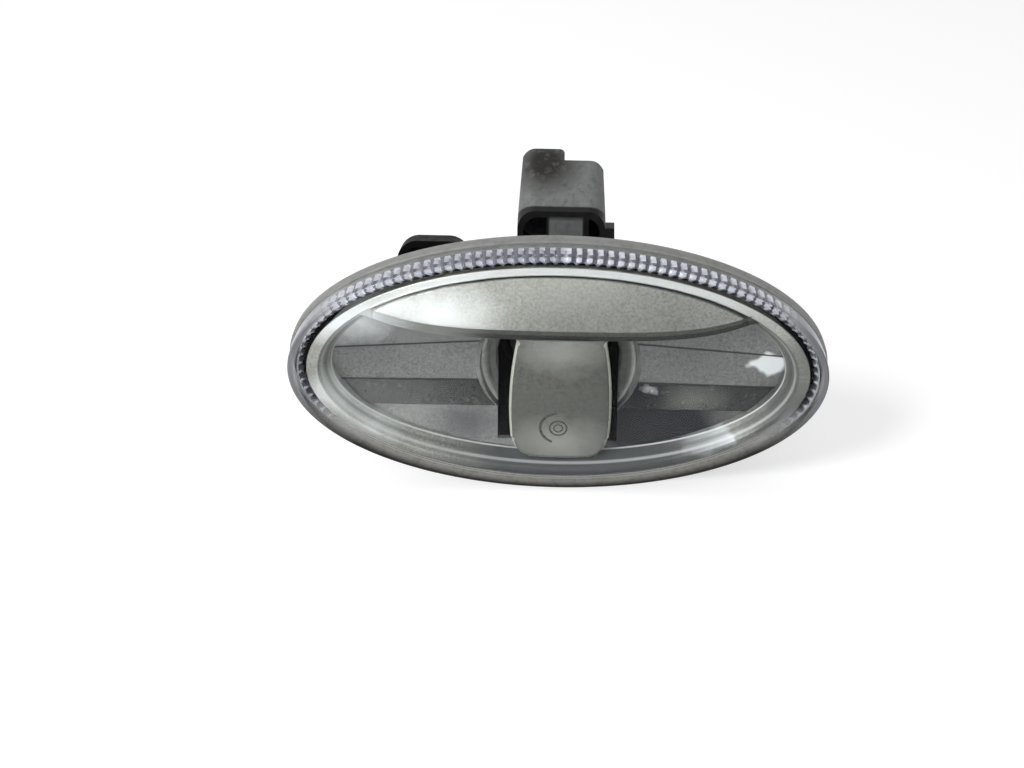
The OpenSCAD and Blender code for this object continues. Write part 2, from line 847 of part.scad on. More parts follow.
// Bulb: a glass tube with a domed tip, pinched flat into the wedge at its base.
module glass_body(radius, front)
  rotate_extrude()
    intersection() {
      union() {
        translate([0, -wedge_end + wedge_length - 1])
          square([radius, front + wedge_end - wedge_length + 1 - radius]);
        translate([0, front - radius])
          circle(r = radius);
      }
      translate([0, -100])
        square([100, 200]);
    }

module lead_path(side, diameter) {
  translate([side * blade_pitch / 2, 0, -wedge_end - contact_gap])
    cylinder(d = diameter, h = wedge_end + lead_top, $fn = 32);
}

module bulb_glass()
  color([0.9, 0.9, 0.92, 0.4])
    face_frame()
      difference() {
        union() {
          glass_body(glass_radius, glass_front);
          translate([-wedge_width / 2, -wedge_thickness / 2, -wedge_end])
            cube([wedge_width, wedge_thickness, wedge_length]);
        }
        glass_body(glass_radius - glass_wall, glass_front - glass_wall);
        for (side = [-1, 1])
          lead_path(side, lead_diameter + 2 * contact_gap);
      }

// A lead wire stands up from the pinch and folds back along the wedge's face.
module bulb_lead(side)
  color([0.7, 0.7, 0.68])
    face_frame() {
      x = side * blade_pitch / 2;
      face_y = -side * (wedge_thickness + lead_diameter) / 2;
      lead_path(side, lead_diameter);
      translate([x, 0, -wedge_end - lead_diameter / 2])
        rotate([side * 90, 0, 0])
          cylinder(d = lead_diameter, h = abs(face_y), $fn = 32);
      translate([x, face_y, -wedge_end - lead_diameter / 2])
        cylinder(d = lead_diameter, h = wedge_length - 2, $fn = 32);
      translate([x, face_y, -wedge_end - lead_diameter / 2])
        sphere(d = lead_diameter, $fn = 32);
    }

module bulb_lead_left() bulb_lead(-1);

module bulb_lead_right() bulb_lead(1);

// The filament is a fine coil that bows between the two leads.
module bulb_filament()
  color([0.6, 0.6, 0.6])
    face_frame()
      translate([0, 0, lead_top])
        rotate([90, 0, 0])
          rotate_extrude(angle = 180)
            translate([blade_pitch / 2, 0])
              circle(d = filament_diameter, $fn = 24);

module holder_seal()
  color([0.12, 0.12, 0.12])
    face_frame()
      translate([0, 0, -flange_front])
        difference() {
          cylinder(r = socket_radius + 3, h = seal_height);
          translate([0, 0, -1])
            cylinder(r = socket_radius + 0.1, h = seal_height + 2);
        }

lens();
reflector();
housing();
panel_gasket();
bulb_holder();
holder_seal();
terminal_left();
terminal_right();
bulb_glass();
bulb_filament();
bulb_lead_left();
bulb_lead_right();
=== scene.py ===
"""Side repeater lamp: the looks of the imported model, laid out as a Blender add-on and run as a script."""

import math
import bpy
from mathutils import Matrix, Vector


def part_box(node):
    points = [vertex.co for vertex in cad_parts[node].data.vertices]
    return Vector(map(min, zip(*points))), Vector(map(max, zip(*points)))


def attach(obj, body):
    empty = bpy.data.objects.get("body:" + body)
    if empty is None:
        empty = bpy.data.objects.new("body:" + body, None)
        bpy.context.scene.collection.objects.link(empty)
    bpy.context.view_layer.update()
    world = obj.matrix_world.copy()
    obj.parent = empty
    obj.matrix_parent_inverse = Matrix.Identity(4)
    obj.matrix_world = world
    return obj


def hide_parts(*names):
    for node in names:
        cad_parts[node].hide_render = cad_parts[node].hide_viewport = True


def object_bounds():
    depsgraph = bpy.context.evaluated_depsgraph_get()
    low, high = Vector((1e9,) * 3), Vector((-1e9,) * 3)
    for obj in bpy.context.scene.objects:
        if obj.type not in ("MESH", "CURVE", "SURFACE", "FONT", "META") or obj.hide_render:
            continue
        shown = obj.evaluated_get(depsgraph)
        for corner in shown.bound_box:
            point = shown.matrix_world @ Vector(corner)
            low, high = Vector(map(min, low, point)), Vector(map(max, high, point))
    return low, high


bl_info = {
    "name": "Side Repeater Lamp",
    "version": (1, 0, 0),
    "blender": (4, 5, 0),
    "location": "View3D > Sidebar > Lamp",
    "description": "Makes the lens, reflector and stage of a side repeater lamp round its CAD model",
    "category": "Object",
}

import bmesh
import bpy
from bpy.props import FloatProperty, FloatVectorProperty, IntProperty, PointerProperty
from mathutils import Matrix, Vector

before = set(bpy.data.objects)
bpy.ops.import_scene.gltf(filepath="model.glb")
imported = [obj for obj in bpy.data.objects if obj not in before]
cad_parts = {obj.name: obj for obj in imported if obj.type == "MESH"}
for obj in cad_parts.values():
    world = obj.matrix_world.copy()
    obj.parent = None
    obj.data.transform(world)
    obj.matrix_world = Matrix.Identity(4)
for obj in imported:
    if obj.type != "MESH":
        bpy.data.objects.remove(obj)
CAD_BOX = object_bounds()

MM = 0.001
LENS_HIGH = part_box("lens")[1]
FOOT_Y = LENS_HIGH[1]  # the plane of the lens foot; the lens stands out towards -Y
WALL_OVAL = 57.8, 28.7  # half length and half height of the lens's side wall, for the finishes


def shade(red, green, blue):
    """A colour as a picture shows it, 0 to 255, turned into Blender's linear numbers."""
    parts = [c / 255 for c in (red, green, blue)]
    return tuple(c / 12.92 if c <= 0.04045 else ((c + 0.055) / 1.055) ** 2.4 for c in parts)


# Properties


class LensSizes(bpy.types.PropertyGroup):
    half_length: FloatProperty(
        name="Half length", description="Half length of the side wall at the foot",
        default=LENS_HIGH[0] - 0.5 * MM, unit="LENGTH")
    half_height: FloatProperty(
        name="Half height", description="Half height of the side wall at the foot",
        default=LENS_HIGH[2] - 0.5 * MM, unit="LENGTH")
    wall_height: FloatProperty(
        name="Wall height", description="From the foot to the front corner",
        default=9 * MM, unit="LENGTH")
    dome_rise: FloatProperty(
        name="Dome rise", description="Rise of the front dome above the corner",
        default=3.6 * MM, unit="LENGTH")
    skin: FloatProperty(
        name="Front skin", description="Thickness of the clear front",
        default=1.6 * MM, unit="LENGTH")
    prisms: IntProperty(
        name="Prisms", description="Number of prisms round the side wall", default=124, min=40)
    prism_depth: FloatProperty(
        name="Prism depth", description="How far each prism stands in from the wall",
        default=1.1 * MM, unit="LENGTH")


class ReflectorSizes(bpy.types.PropertyGroup):
    rim_length: FloatProperty(
        name="Rim half length", description="Half length of the rim's inner edge",
        default=51.3 * MM, unit="LENGTH")
    rim_height: FloatProperty(
        name="Rim half height", description="Half height of the rim's inner edge",
        default=23.6 * MM, unit="LENGTH")
    rim_front: FloatProperty(
        name="Rim front", description="Height of the rim above the lens foot",
        default=7.3 * MM, unit="LENGTH")
    shelf_width: FloatProperty(
        name="Shelf width", description="Width of the sloping shelf inside the rim",
        default=2.5 * MM, unit="LENGTH")
    shelf_depth: FloatProperty(
        name="Shelf depth", description="Depth of the sloping shelf",
        default=3.6 * MM, unit="LENGTH")
    wall: FloatProperty(
        name="Wall", description="Wall thickness of the moulding",
        default=1.4 * MM, unit="LENGTH")
    opening: FloatProperty(
        name="Bulb opening", description="Radius of the bulb opening",
        default=13.6 * MM, unit="LENGTH")
    collar: FloatProperty(
        name="Collar", description="Outer radius of the conical collar",
        default=16.7 * MM, unit="LENGTH")
    hood_edge: FloatProperty(
        name="Hood edge", description="Height of the hood's lower edge above the middle",
        default=8.8 * MM, unit="LENGTH")
    shield_half_width: FloatProperty(
        name="Shield half width", description="Half the largest width of the bulb shield",
        default=11.15 * MM, unit="LENGTH")


COLOUR = {"subtype": "COLOR", "size": 3, "min": 0, "max": 1}


class LampColours(bpy.types.PropertyGroup):
    clear: FloatVectorProperty(
        name="Lens", description="Tint of the clear plastic",
        **COLOUR, default=(0.93, 0.95, 0.96))
    satin: FloatVectorProperty(
        name="Satin", description="Colour of the satin reflector",
        **COLOUR, default=shade(152, 151, 142))
    bowl: FloatVectorProperty(
        name="Bowl", description="Colour of the silvered facets",
        **COLOUR, default=shade(121, 121, 118))
    housing: FloatVectorProperty(
        name="Housing", description="Colour of the dark rear housing",
        **COLOUR, default=shade(26, 26, 26))
    holder: FloatVectorProperty(
        name="Holder", description="Colour of the grey bulb holder",
        **COLOUR, default=shade(112, 115, 114))
    # Colour of a dark patch on the holder's shroud.
    shroud_patch: FloatVectorProperty(
        name="Dirt", description="Colour of the dirt on the holder",
        **COLOUR, default=shade(42, 39, 36))
    rubber: FloatVectorProperty(
        name="Rubber", description="Colour of the seal and the gasket",
        **COLOUR, default=shade(38, 38, 38))
    brass: FloatVectorProperty(
        name="Terminals", description="Colour of the stamped terminals",
        **COLOUR, default=shade(205, 176, 120))


class StageSettings(bpy.types.PropertyGroup):
    elevation: FloatProperty(
        name="Elevation", description="Camera's angle above the lamp's axis",
        default=math.radians(30), subtype="ANGLE")
    roll: FloatProperty(
        name="Roll", description="Camera's turn about its own axis",
        default=math.radians(1.25), subtype="ANGLE")
    distance: FloatProperty(
        name="Distance", description="From the camera to the lens foot",
        default=0.3, unit="LENGTH")
    focal_length: FloatProperty(
        name="Focal length", description="Camera's focal length", default=48.3, unit="CAMERA")
    key_power: FloatProperty(
        name="Key light", description="Power of the key light", default=5.0, unit="POWER")
    fill_power: FloatProperty(
        name="Fill light", description="Power of the fill light", default=0.6, unit="POWER")
    glare_power: FloatProperty(
        name="Glare light", description="Power of the low light that the hood's left side reflects",
        default=0.02, unit="POWER")


# Mesh tools


def place(x, y, z):
    """A point of face coordinates, in millimetres: x along the lamp, y up, z out from the lens foot."""
    return (x * MM, FOOT_Y - z * MM, y * MM)


def in_mm(group):
    """The length properties of a group, in millimetres."""
    return {p.identifier: getattr(group, p.identifier) / MM
            for p in group.bl_rna.properties if p.type == "FLOAT" and p.unit == "LENGTH"}


class Skin:
    """Collects the points and faces of one piece."""

    def __init__(self):
        self.points, self.faces = [], []

    def row(self, points):
        """Adds points, and gives their numbers."""
        start = len(self.points)
        self.points += [place(*p) for p in points]
        return list(range(start, len(self.points)))

    def join(self, a, b, ring):
        """Faces between two rows of as many points."""
        count = len(a)
        for i in range(count if ring else count - 1):
            j = (i + 1) % count
            self.faces.append((a[i], a[j], b[j], b[i]))

    def loft(self, rows, ring=True, closed=False):
        """Faces from row to row. A ring row joins its own ends; closed joins the last row to the first."""
        rows = [self.row(r) for r in rows]
        for a, b in zip(rows, rows[1:] + rows[:1] if closed else rows[1:]):
            self.join(a, b, ring)
        return rows

    def cap(self, row, flip=False):
        """One face over a whole row."""
        self.faces.append(tuple(reversed(row)) if flip else tuple(row))

    def fan(self, row, tip):
        """Faces from a ring row to a point."""
        start = len(self.points)
        self.points.append(place(*tip))
        for i in range(len(row)):
            self.faces.append((row[i], row[(i + 1) % len(row)], start))

    def slab(self, rows, thickness):
        """A closed plate: a grid of front points, and the same grid set back by the thickness."""
        front = [self.row(r) for r in rows]
        back = [self.row([(x, y, z - thickness) for x, y, z in r]) for r in rows]
        for a, b in zip(front, front[1:]):
            self.join(a, b, False)
        for a, b in zip(back, back[1:]):
            self.join(b, a, False)
        self.join(back[0], front[0], False)
        self.join(front[-1], back[-1], False)
        for side in (0, -1):
            a, b = [r[side] for r in front], [r[side] for r in back]
            self.join(*((a, b) if side == 0 else (b, a)), False)

    def piece(self, name, material, body, sharp=30, bevel=0.0):
        """Makes the object, welded, facing outwards, smooth but for its sharp edges."""
        mesh = bpy.data.meshes.new(name)
        mesh.from_pydata(self.points, [], self.faces)
        tidy_mesh(mesh)
        mesh.polygons.foreach_set("use_smooth", [True] * len(mesh.polygons))
        mesh.set_sharp_from_angle(angle=math.radians(sharp))
        mesh.materials.append(material)
        obj = add_object(name, mesh)
        if bevel:
            edges = obj.modifiers.new("edges", "BEVEL")
            edges.width, edges.segments, edges.limit_method = bevel * MM, 2, "ANGLE"
            edges.angle_limit, edges.harden_normals = math.radians(35), True
        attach(obj, body)
        return obj


def add_object(name, data):
    """Makes an object and puts it into the scene."""
    obj = bpy.data.objects.new(name, data)
    bpy.context.scene.collection.objects.link(obj)
    return obj


def tidy_mesh(mesh):
    """Welds points that meet, drops faces of no size and turns all faces outwards."""
    meet = 1e-7
    bm = bmesh.new()
    bm.from_mesh(mesh)
    bmesh.ops.remove_doubles(bm, verts=bm.verts, dist=meet)
    bmesh.ops.dissolve_degenerate(bm, edges=bm.edges, dist=meet)
    bmesh.ops.recalc_face_normals(bm, faces=bm.faces)
    bm.to_mesh(mesh)
    bm.free()


def face_spot(face):
    """Centre of a face in face coordinates, in millimetres: x, height and depth."""
    x, y, z = face.center
    return x / MM, z / MM, (FOOT_Y - y) / MM


def oval_ring(half_length, half_height, depth, count):
    """Points of an oval at a depth, by equal angles."""
    return [(half_length * math.cos(t), half_height * math.sin(t), depth)
            for t in (2 * math.pi * j / count for j in range(count))]


def equal_turns(half_length, half_height, count):
    """Angles round an oval that give points an equal distance apart."""
    steps = 1440
    run, table = 0.0, [(0.0, 0.0)]
    last = (half_length, 0.0)
    for i in range(1, steps + 1):
        t = 2 * math.pi * i / steps
        p = (half_length * math.cos(t), half_height * math.sin(t))
        run += math.dist(p, last)
        table.append((run, t))
        last = p
    turns, k = [], 0
    for j in range(count):
        want = run * j / count
        while table[k + 1][0] < want:
            k += 1
        (a, ta), (b, tb) = table[k], table[k + 1]
        turns.append(ta + (tb - ta) * (want - a) / (b - a))
    return turns


# Materials


class Finish:
    """A node material with one Principled shader, built up step by step."""

    def __init__(self, name, colour, roughness=0.5, metallic=0.0, **sockets):
        self.mat = bpy.data.materials.new(name)
        self.mat.use_nodes = True
        self.nodes, self.links = self.mat.node_tree.nodes, self.mat.node_tree.links
        self.nodes.clear()
        self.out = self.nodes.new("ShaderNodeOutputMaterial")
        self.shader = self.nodes.new("ShaderNodeBsdfPrincipled")
        self.links.new(self.shader.outputs[0], self.out.inputs["Surface"])
        inputs = self.shader.inputs
        inputs["Base Color"].default_value = (*colour, 1)
        inputs["Roughness"].default_value = roughness
        inputs["Metallic"].default_value = metallic
        for key, value in sockets.items():
            inputs[key.replace("_", " ")].default_value = value
        self.coords = self.nodes.new("ShaderNodeTexCoord").outputs["Object"]
        self.bumps = None

    def node(self, kind, **values):
        n = self.nodes.new("ShaderNode" + kind)
        for key, value in values.items():
            setattr(n, key, value)
        return n

    def noise(self, scale, detail=3, stretch=(1, 1, 1), rough=0.5):
        """Noise from 0 to 1. Scale is in cycles a metre."""
        move = self.node("Mapping")
        move.inputs["Scale"].default_value = stretch
        self.links.new(self.coords, move.inputs["Vector"])
        n = self.node("TexNoise")
        n.inputs["Scale"].default_value = scale
        n.inputs["Detail"].default_value = detail
        n.inputs["Roughness"].default_value = rough
        self.links.new(move.outputs[0], n.inputs["Vector"])
        return n.outputs["Fac"]

    def ramp(self, value, low, high, to_low=0.0, to_high=1.0):
        """Turns the range from low to high into the range from to_low to to_high, and stops at its ends."""
        n = self.node("MapRange")
        for key, number in zip(("From Min", "From Max", "To Min", "To Max"),
                               (low, high, to_low, to_high)):
            n.inputs[key].default_value = number
        self.links.new(value, n.inputs["Value"])
        return n.outputs[0]

    def maths(self, operation, a, b):
        n = self.node("Math", operation=operation)
        for socket, value in zip(n.inputs, (a, b)):
            if isinstance(value, (int, float)):
                socket.default_value = value
            else:
                self.links.new(value, socket)
        return n.outputs[0]

    def both(self, a, b):
        """One amount times another."""
        return self.maths("MULTIPLY", a, b)

    def length(self, vector):
        n = self.node("VectorMath", operation="LENGTH")
        self.links.new(vector, n.inputs[0])
        return n.outputs["Value"]

    def along(self, axis):
        """Position along X, Y or Z, in metres."""
        n = self.node("SeparateXYZ")
        self.links.new(self.coords, n.inputs[0])
        return n.outputs[axis]

    def beside(self, axis, middle=0.0):
        """Distance from a plane across an axis, in metres."""
        return self.maths("ABSOLUTE", self.maths("SUBTRACT", self.along(axis), middle), 0)

    def spot(self, centre, radius, soft=0.5):
        """1 inside a ball round a point, falling to 0 at its edge."""
        n = self.node("VectorMath", operation="DISTANCE")
        self.links.new(self.coords, n.inputs[0])
        n.inputs[1].default_value = centre
        return self.ramp(n.outputs["Value"], radius, radius * (1 - soft))

    def oval(self, half_length, half_height):
        """Share of the way from the lamp's axis out to an oval, whose sizes are in millimetres."""
        scaled = self.node("VectorMath", operation="MULTIPLY")
        scaled.inputs[1].default_value = (1 / (half_length * MM), 0, 1 / (half_height * MM))
        self.links.new(self.coords, scaled.inputs[0])
        return self.length(scaled.outputs[0])

    def painted_shading(self, table):
        """Soft uneven spots of painted highlight or painted shade: each row is x, height, radius (mm),
        softness, amount and colour.
        """
        waver, flatter = 4, 1.6  # how far an edge strays (mm), and how many times wider than high a patch is
        wave = self.node("TexNoise")
        wave.inputs["Scale"].default_value = 260
        self.links.new(self.coords, wave.inputs["Vector"])
        stray = self.node("VectorMath", operation="MULTIPLY_ADD")
        self.links.new(wave.outputs["Color"], stray.inputs[0])
        stray.inputs[1].default_value = (waver * MM, 0, waver * MM)
        self.links.new(self.coords, stray.inputs[2])
        for x, y, radius, soft, amount, colour in table:
            n = self.node("VectorMath", operation="MULTIPLY_ADD")
            self.links.new(stray.outputs[0], n.inputs[0])
            n.inputs[1].default_value = (1, 0, flatter)
            n.inputs[2].default_value = (-(x + waver / 2) * MM, 0, -flatter * (y + waver / 2) * MM)
            away = self.length(n.outputs[0])
            self.tint(self.ramp(away, radius * MM, radius * (1 - soft) * MM, 0, amount), colour)
        return self

    def tint(self, amount, colour):
        """Mixes a colour in by an amount from nodes."""
        n = self.node("Mix", data_type="RGBA")
        base = self.shader.inputs["Base Color"]
        if base.is_linked:
            self.links.new(base.links[0].from_socket, n.inputs[6])
        else:
            n.inputs[6].default_value = base.default_value
        n.inputs[7].default_value = (*colour, 1)
        self.links.new(amount, n.inputs[0])
        self.links.new(n.outputs[2], base)
        return self

    def drive(self, socket, value):
        """Sets one of the shader's sockets from nodes."""
        self.links.new(value, self.shader.inputs[socket])
        return self

    def rough(self, value, low, high):
        """Roughness from low to high as a noise rises."""
        return self.drive("Roughness", self.ramp(value, 0.3, 0.7, low, high))

    def bump(self, height, distance, strength=0.5):
        """Adds a bump of a height from nodes, on top of the ones before."""
        n = self.node("Bump")
        n.inputs["Strength"].default_value = strength
        n.inputs["Distance"].default_value = distance
        self.links.new(height, n.inputs["Height"])
        if self.bumps:
            self.links.new(self.bumps, n.inputs["Normal"])
        self.bumps = n.outputs[0]
        self.links.new(self.bumps, self.shader.inputs["Normal"])
        return self

    def lets_lamps_through(self, tint):
        """Light from lamps passes the glass instead of ending in it."""
        path, clear, mix = self.node("LightPath"), self.node("BsdfTransparent"), self.node("MixShader")
        clear.inputs[0].default_value = (*tint, 1)
        self.links.new(path.outputs["Is Shadow Ray"], mix.inputs[0])
        self.links.new(self.shader.outputs[0], mix.inputs[1])
        self.links.new(clear.outputs[0], mix.inputs[2])
        self.links.new(mix.outputs[0], self.out.inputs["Surface"])
        return self


def darker(colour, share):
    return tuple(c * share for c in colour[:3])


def clear_plastic(colours):
    """Clear plastic, frosted at the lamp's ends; its lower border grimy and speckled, with a painted shade
    at the bottom edge and a painted highlight along the inner edge.
    """
    f = Finish("clear_plastic", colours.clear, 0.02, IOR=1.49, Transmission_Weight=1.0,
               Specular_Tint=(0.04, 0.04, 0.04, 1))
    speck = f.noise(900, 5, rough=0.7)
    out = f.oval(*WALL_OVAL)
    border, below = f.ramp(out, 0.88, 0.91), f.ramp(f.along("Z"), -6 * MM, -18 * MM)
    rim, far = f.ramp(out, 0.965, 0.98), f.ramp(f.beside("X"), 44 * MM, 52 * MM)
    grime_and_shade, ends = f.both(border, below), f.both(rim, far)
    f.tint(ends, shade(150, 151, 156))
    f.tint(grime_and_shade, shade(170, 169, 162))
    # Speckles of dirt, then a painted shade at the border's bottom edge and a painted highlight along its
    # inner edge.
    for share, colour in ((f.ramp(speck, 0.45, 0.8, 0, 0.8), shade(96, 95, 90)),
                          (f.ramp(out, 0.93, 0.975), shade(52, 51, 50)),
                          (f.ramp(out, 0.905, 0.89), shade(215, 215, 208))):
        f.tint(f.both(grime_and_shade, share), colour)
    f.drive("Transmission Weight", f.ramp(f.maths("MAXIMUM", grime_and_shade, ends), 0, 1, 1, 0.35))
    haze = f.ramp(speck, 0.35, 0.75, 0.01, 0.045)
    f.drive("Roughness", f.maths("ADD", haze, f.both(grime_and_shade, 0.4)))
    f.bump(speck, 0.006 * MM, 0.2)
    return f.lets_lamps_through((0.93, 0.94, 0.95)).mat


def frosted_foot():
    """The lens foot: frosted, and darker further down as a painted shade."""
    f = Finish("frosted_foot", shade(160, 161, 158), 0.5, IOR=1.49, Transmission_Weight=0.25)
    f.tint(f.ramp(f.noise(600, 5, rough=0.7), 0.45, 0.75, 0, 0.7), shade(112, 111, 106))
    # Painted shade: darker further down.
    f.tint(f.ramp(f.along("Z"), -4 * MM, -16 * MM, 0, 0.8), shade(78, 77, 75))
    f.bump(f.noise(3000, 3), 0.02 * MM, 0.4)
    return f.lets_lamps_through((0.5, 0.5, 0.5)).mat


def prism_face(name, colour, metallic):
    """A face of the prism ring, coloured as a painted glint or painted shade, which throws light back like
    silver.
    """
    f = Finish(name, colour, 0.16, metallic)
    f.tint(f.ramp(f.noise(1500, 4), 0.4, 0.7, 0, 0.5), darker(colour, 0.6))
    f.bump(f.noise(2500, 2), 0.01 * MM, 0.2)
    return f.lets_lamps_through((0.4, 0.4, 0.4)).mat


def satin_grey(name, colour, metallic=0.4, low=0.3, high=0.4, grain=0.5, painted_shading=()):
    """Satin finish of the reflector, with a roughness from low to high, a fine grain and soft spots of
    painted highlight and painted shade.
    """
    f = Finish(name, colour, 0.35, metallic)
    mottle, fine = f.noise(330, 5, rough=0.6), f.noise(1700, 4, rough=0.8)
    f.tint(f.ramp(mottle, 0.4, 0.7, 0, 0.4), darker(colour, 1.15))
    f.tint(f.ramp(fine, 0.5, 0.64, 0, grain), darker(colour, 0.3))
    f.tint(f.ramp(fine, 0.5, 0.36, 0, grain), darker(colour, 1.6))
    # Spots of painted highlight and painted shade.
    f.painted_shading(painted_shading)
    f.rough(mottle, low, high)
    return f


def stepped_collar():
    """Paler and smoother satin of the collar's steps."""
    f = Finish("stepped_collar", shade(158, 158, 154), 0.3, 0.4)
    f.tint(f.ramp(f.noise(700, 3), 0.4, 0.7), shade(136, 136, 132))
    f.bump(f.noise(900, 2), 0.01 * MM, 0.1)
    return f.mat


def black_plastic(colours):
    """Dusty black plastic of the housing."""
    f = Finish("black_plastic", darker(colours.housing, 0.6), 0.55, Specular_IOR_Level=0.07)
    dust = f.noise(420, 5, rough=0.7)
    f.tint(f.ramp(dust, 0.5, 0.8, 0, 0.12), shade(70, 68, 64))
    f.rough(dust, 0.4, 0.65)
    f.bump(f.noise(6500, 2), 0.04 * MM, 0.5)
    return f.mat


def holder_plastic(colours):
    """Dusty grey plastic of the bulb holder, with painted shade inside the lamp and below the shroud but for
    its neck's top, and a dark patch on its shroud.
    """
    f = Finish("holder_plastic", colours.holder, 0.5)
    dust = f.noise(520, 6, rough=0.7)
    streaks = f.noise(900, 4, stretch=(1, 1, 0.25))
    f.tint(f.ramp(dust, 0.42, 0.75, 0, 0.55), shade(140, 141, 136))
    f.tint(f.ramp(streaks, 0.5, 0.75, 0, 0.5), shade(64, 66, 66))
    # A dark patch on the shroud's top.
    dark_patch = f.spot((-4 * MM, 34 * MM, 31 * MM), 10 * MM, 0.7)
    f.tint(f.both(dark_patch, f.ramp(dust, 0.2, 0.48)), darker(colours.shroud_patch, 0.8))
    # Painted shade on the holder's parts inside the lamp.
    f.tint(f.ramp(f.along("Y"), 16 * MM, 14 * MM), shade(14, 14, 15))
    # Painted shade on the holder below the shroud, but for the top of its neck.
    plug = f.node("VectorMath", operation="DOT_PRODUCT")
    f.links.new(f.coords, plug.inputs[0])
    plug.inputs[1].default_value = (0, 0.866, 0.5)  # the connector's direction
    along_plug = plug.outputs["Value"]
    neck = f.ramp(along_plug, 33.0 * MM, 32.6 * MM)
    pale_strip = f.both(f.ramp(f.beside("X", 1 * MM), 4.0 * MM, 3.6 * MM),
                        f.ramp(along_plug, 30.8 * MM, 30.2 * MM))
    f.tint(f.maths("SUBTRACT", neck, pale_strip), shade(22, 22, 22))
    f.rough(dust, 0.42, 0.7)
    f.bump(f.noise(6000, 2), 0.04 * MM, 0.5)
    f.bump(dust, 0.06 * MM, 0.4)
    return f.mat


def soft_rubber(name, colour, scale, depth):
    """Matt rubber or foam with fine cells: so many a metre, and so deep."""
    f = Finish(name, colour, 0.7)
    cells = f.node("TexVoronoi")
    cells.inputs["Scale"].default_value = scale
    f.links.new(f.coords, cells.inputs["Vector"])
    f.tint(f.ramp(f.noise(scale / 3, 4), 0.45, 0.75, 0, 0.4), shade(82, 80, 76))
    f.bump(cells.outputs["Distance"], depth, 0.6)
    f.rough(f.noise(scale / 2, 3), 0.6, 0.85)
    return f.mat


def bright_metal(name, colour, roughness=0.28):
    """Brushed metal of the terminals and wires."""
    f = Finish(name, colour, roughness, 1.0)
    brushed = f.noise(2400, 3, stretch=(6, 1, 0.3))
    f.tint(f.ramp(brushed, 0.4, 0.7, 0, 0.5), darker(colour, 0.72))
    f.rough(brushed, roughness - 0.08, roughness + 0.12)
    f.bump(brushed, 0.02 * MM, 0.3)
    return f.mat


def bulb_clear():
    """Glass of the bulb."""
    f = Finish("bulb_clear", (0.95, 0.95, 0.94), 0.02, IOR=1.47, Transmission_Weight=1.0)
    f.tint(f.ramp(f.noise(300, 4), 0.5, 0.8, 0, 0.4), (0.85, 0.83, 0.78))
    f.drive("Roughness", f.ramp(f.noise(700, 4), 0.4, 0.8, 0.01, 0.06))
    return f.lets_lamps_through((0.95, 0.95, 0.94)).mat


def ink(colour):
    """Dark shade of the mould mark."""
    f = Finish("mould_mark_shade", colour, 0.6)
    f.tint(f.ramp(f.noise(3000, 3), 0.45, 0.7), shade(90, 90, 82))
    f.bump(f.noise(4000, 2), 0.02 * MM, 0.3)
    return f.mat


# Operators: in them, a and b are half the length and half the height of an oval, in millimetres.


# Edge of the lens's foot flange: how far in from the side wall, and height above the foot (mm).
FLANGE = ((-0.5, 0), (-0.5, 2.3), (-0.45, 2.55), (-0.32, 2.7), (-0.2, 2.8), (0.0, 2.85))


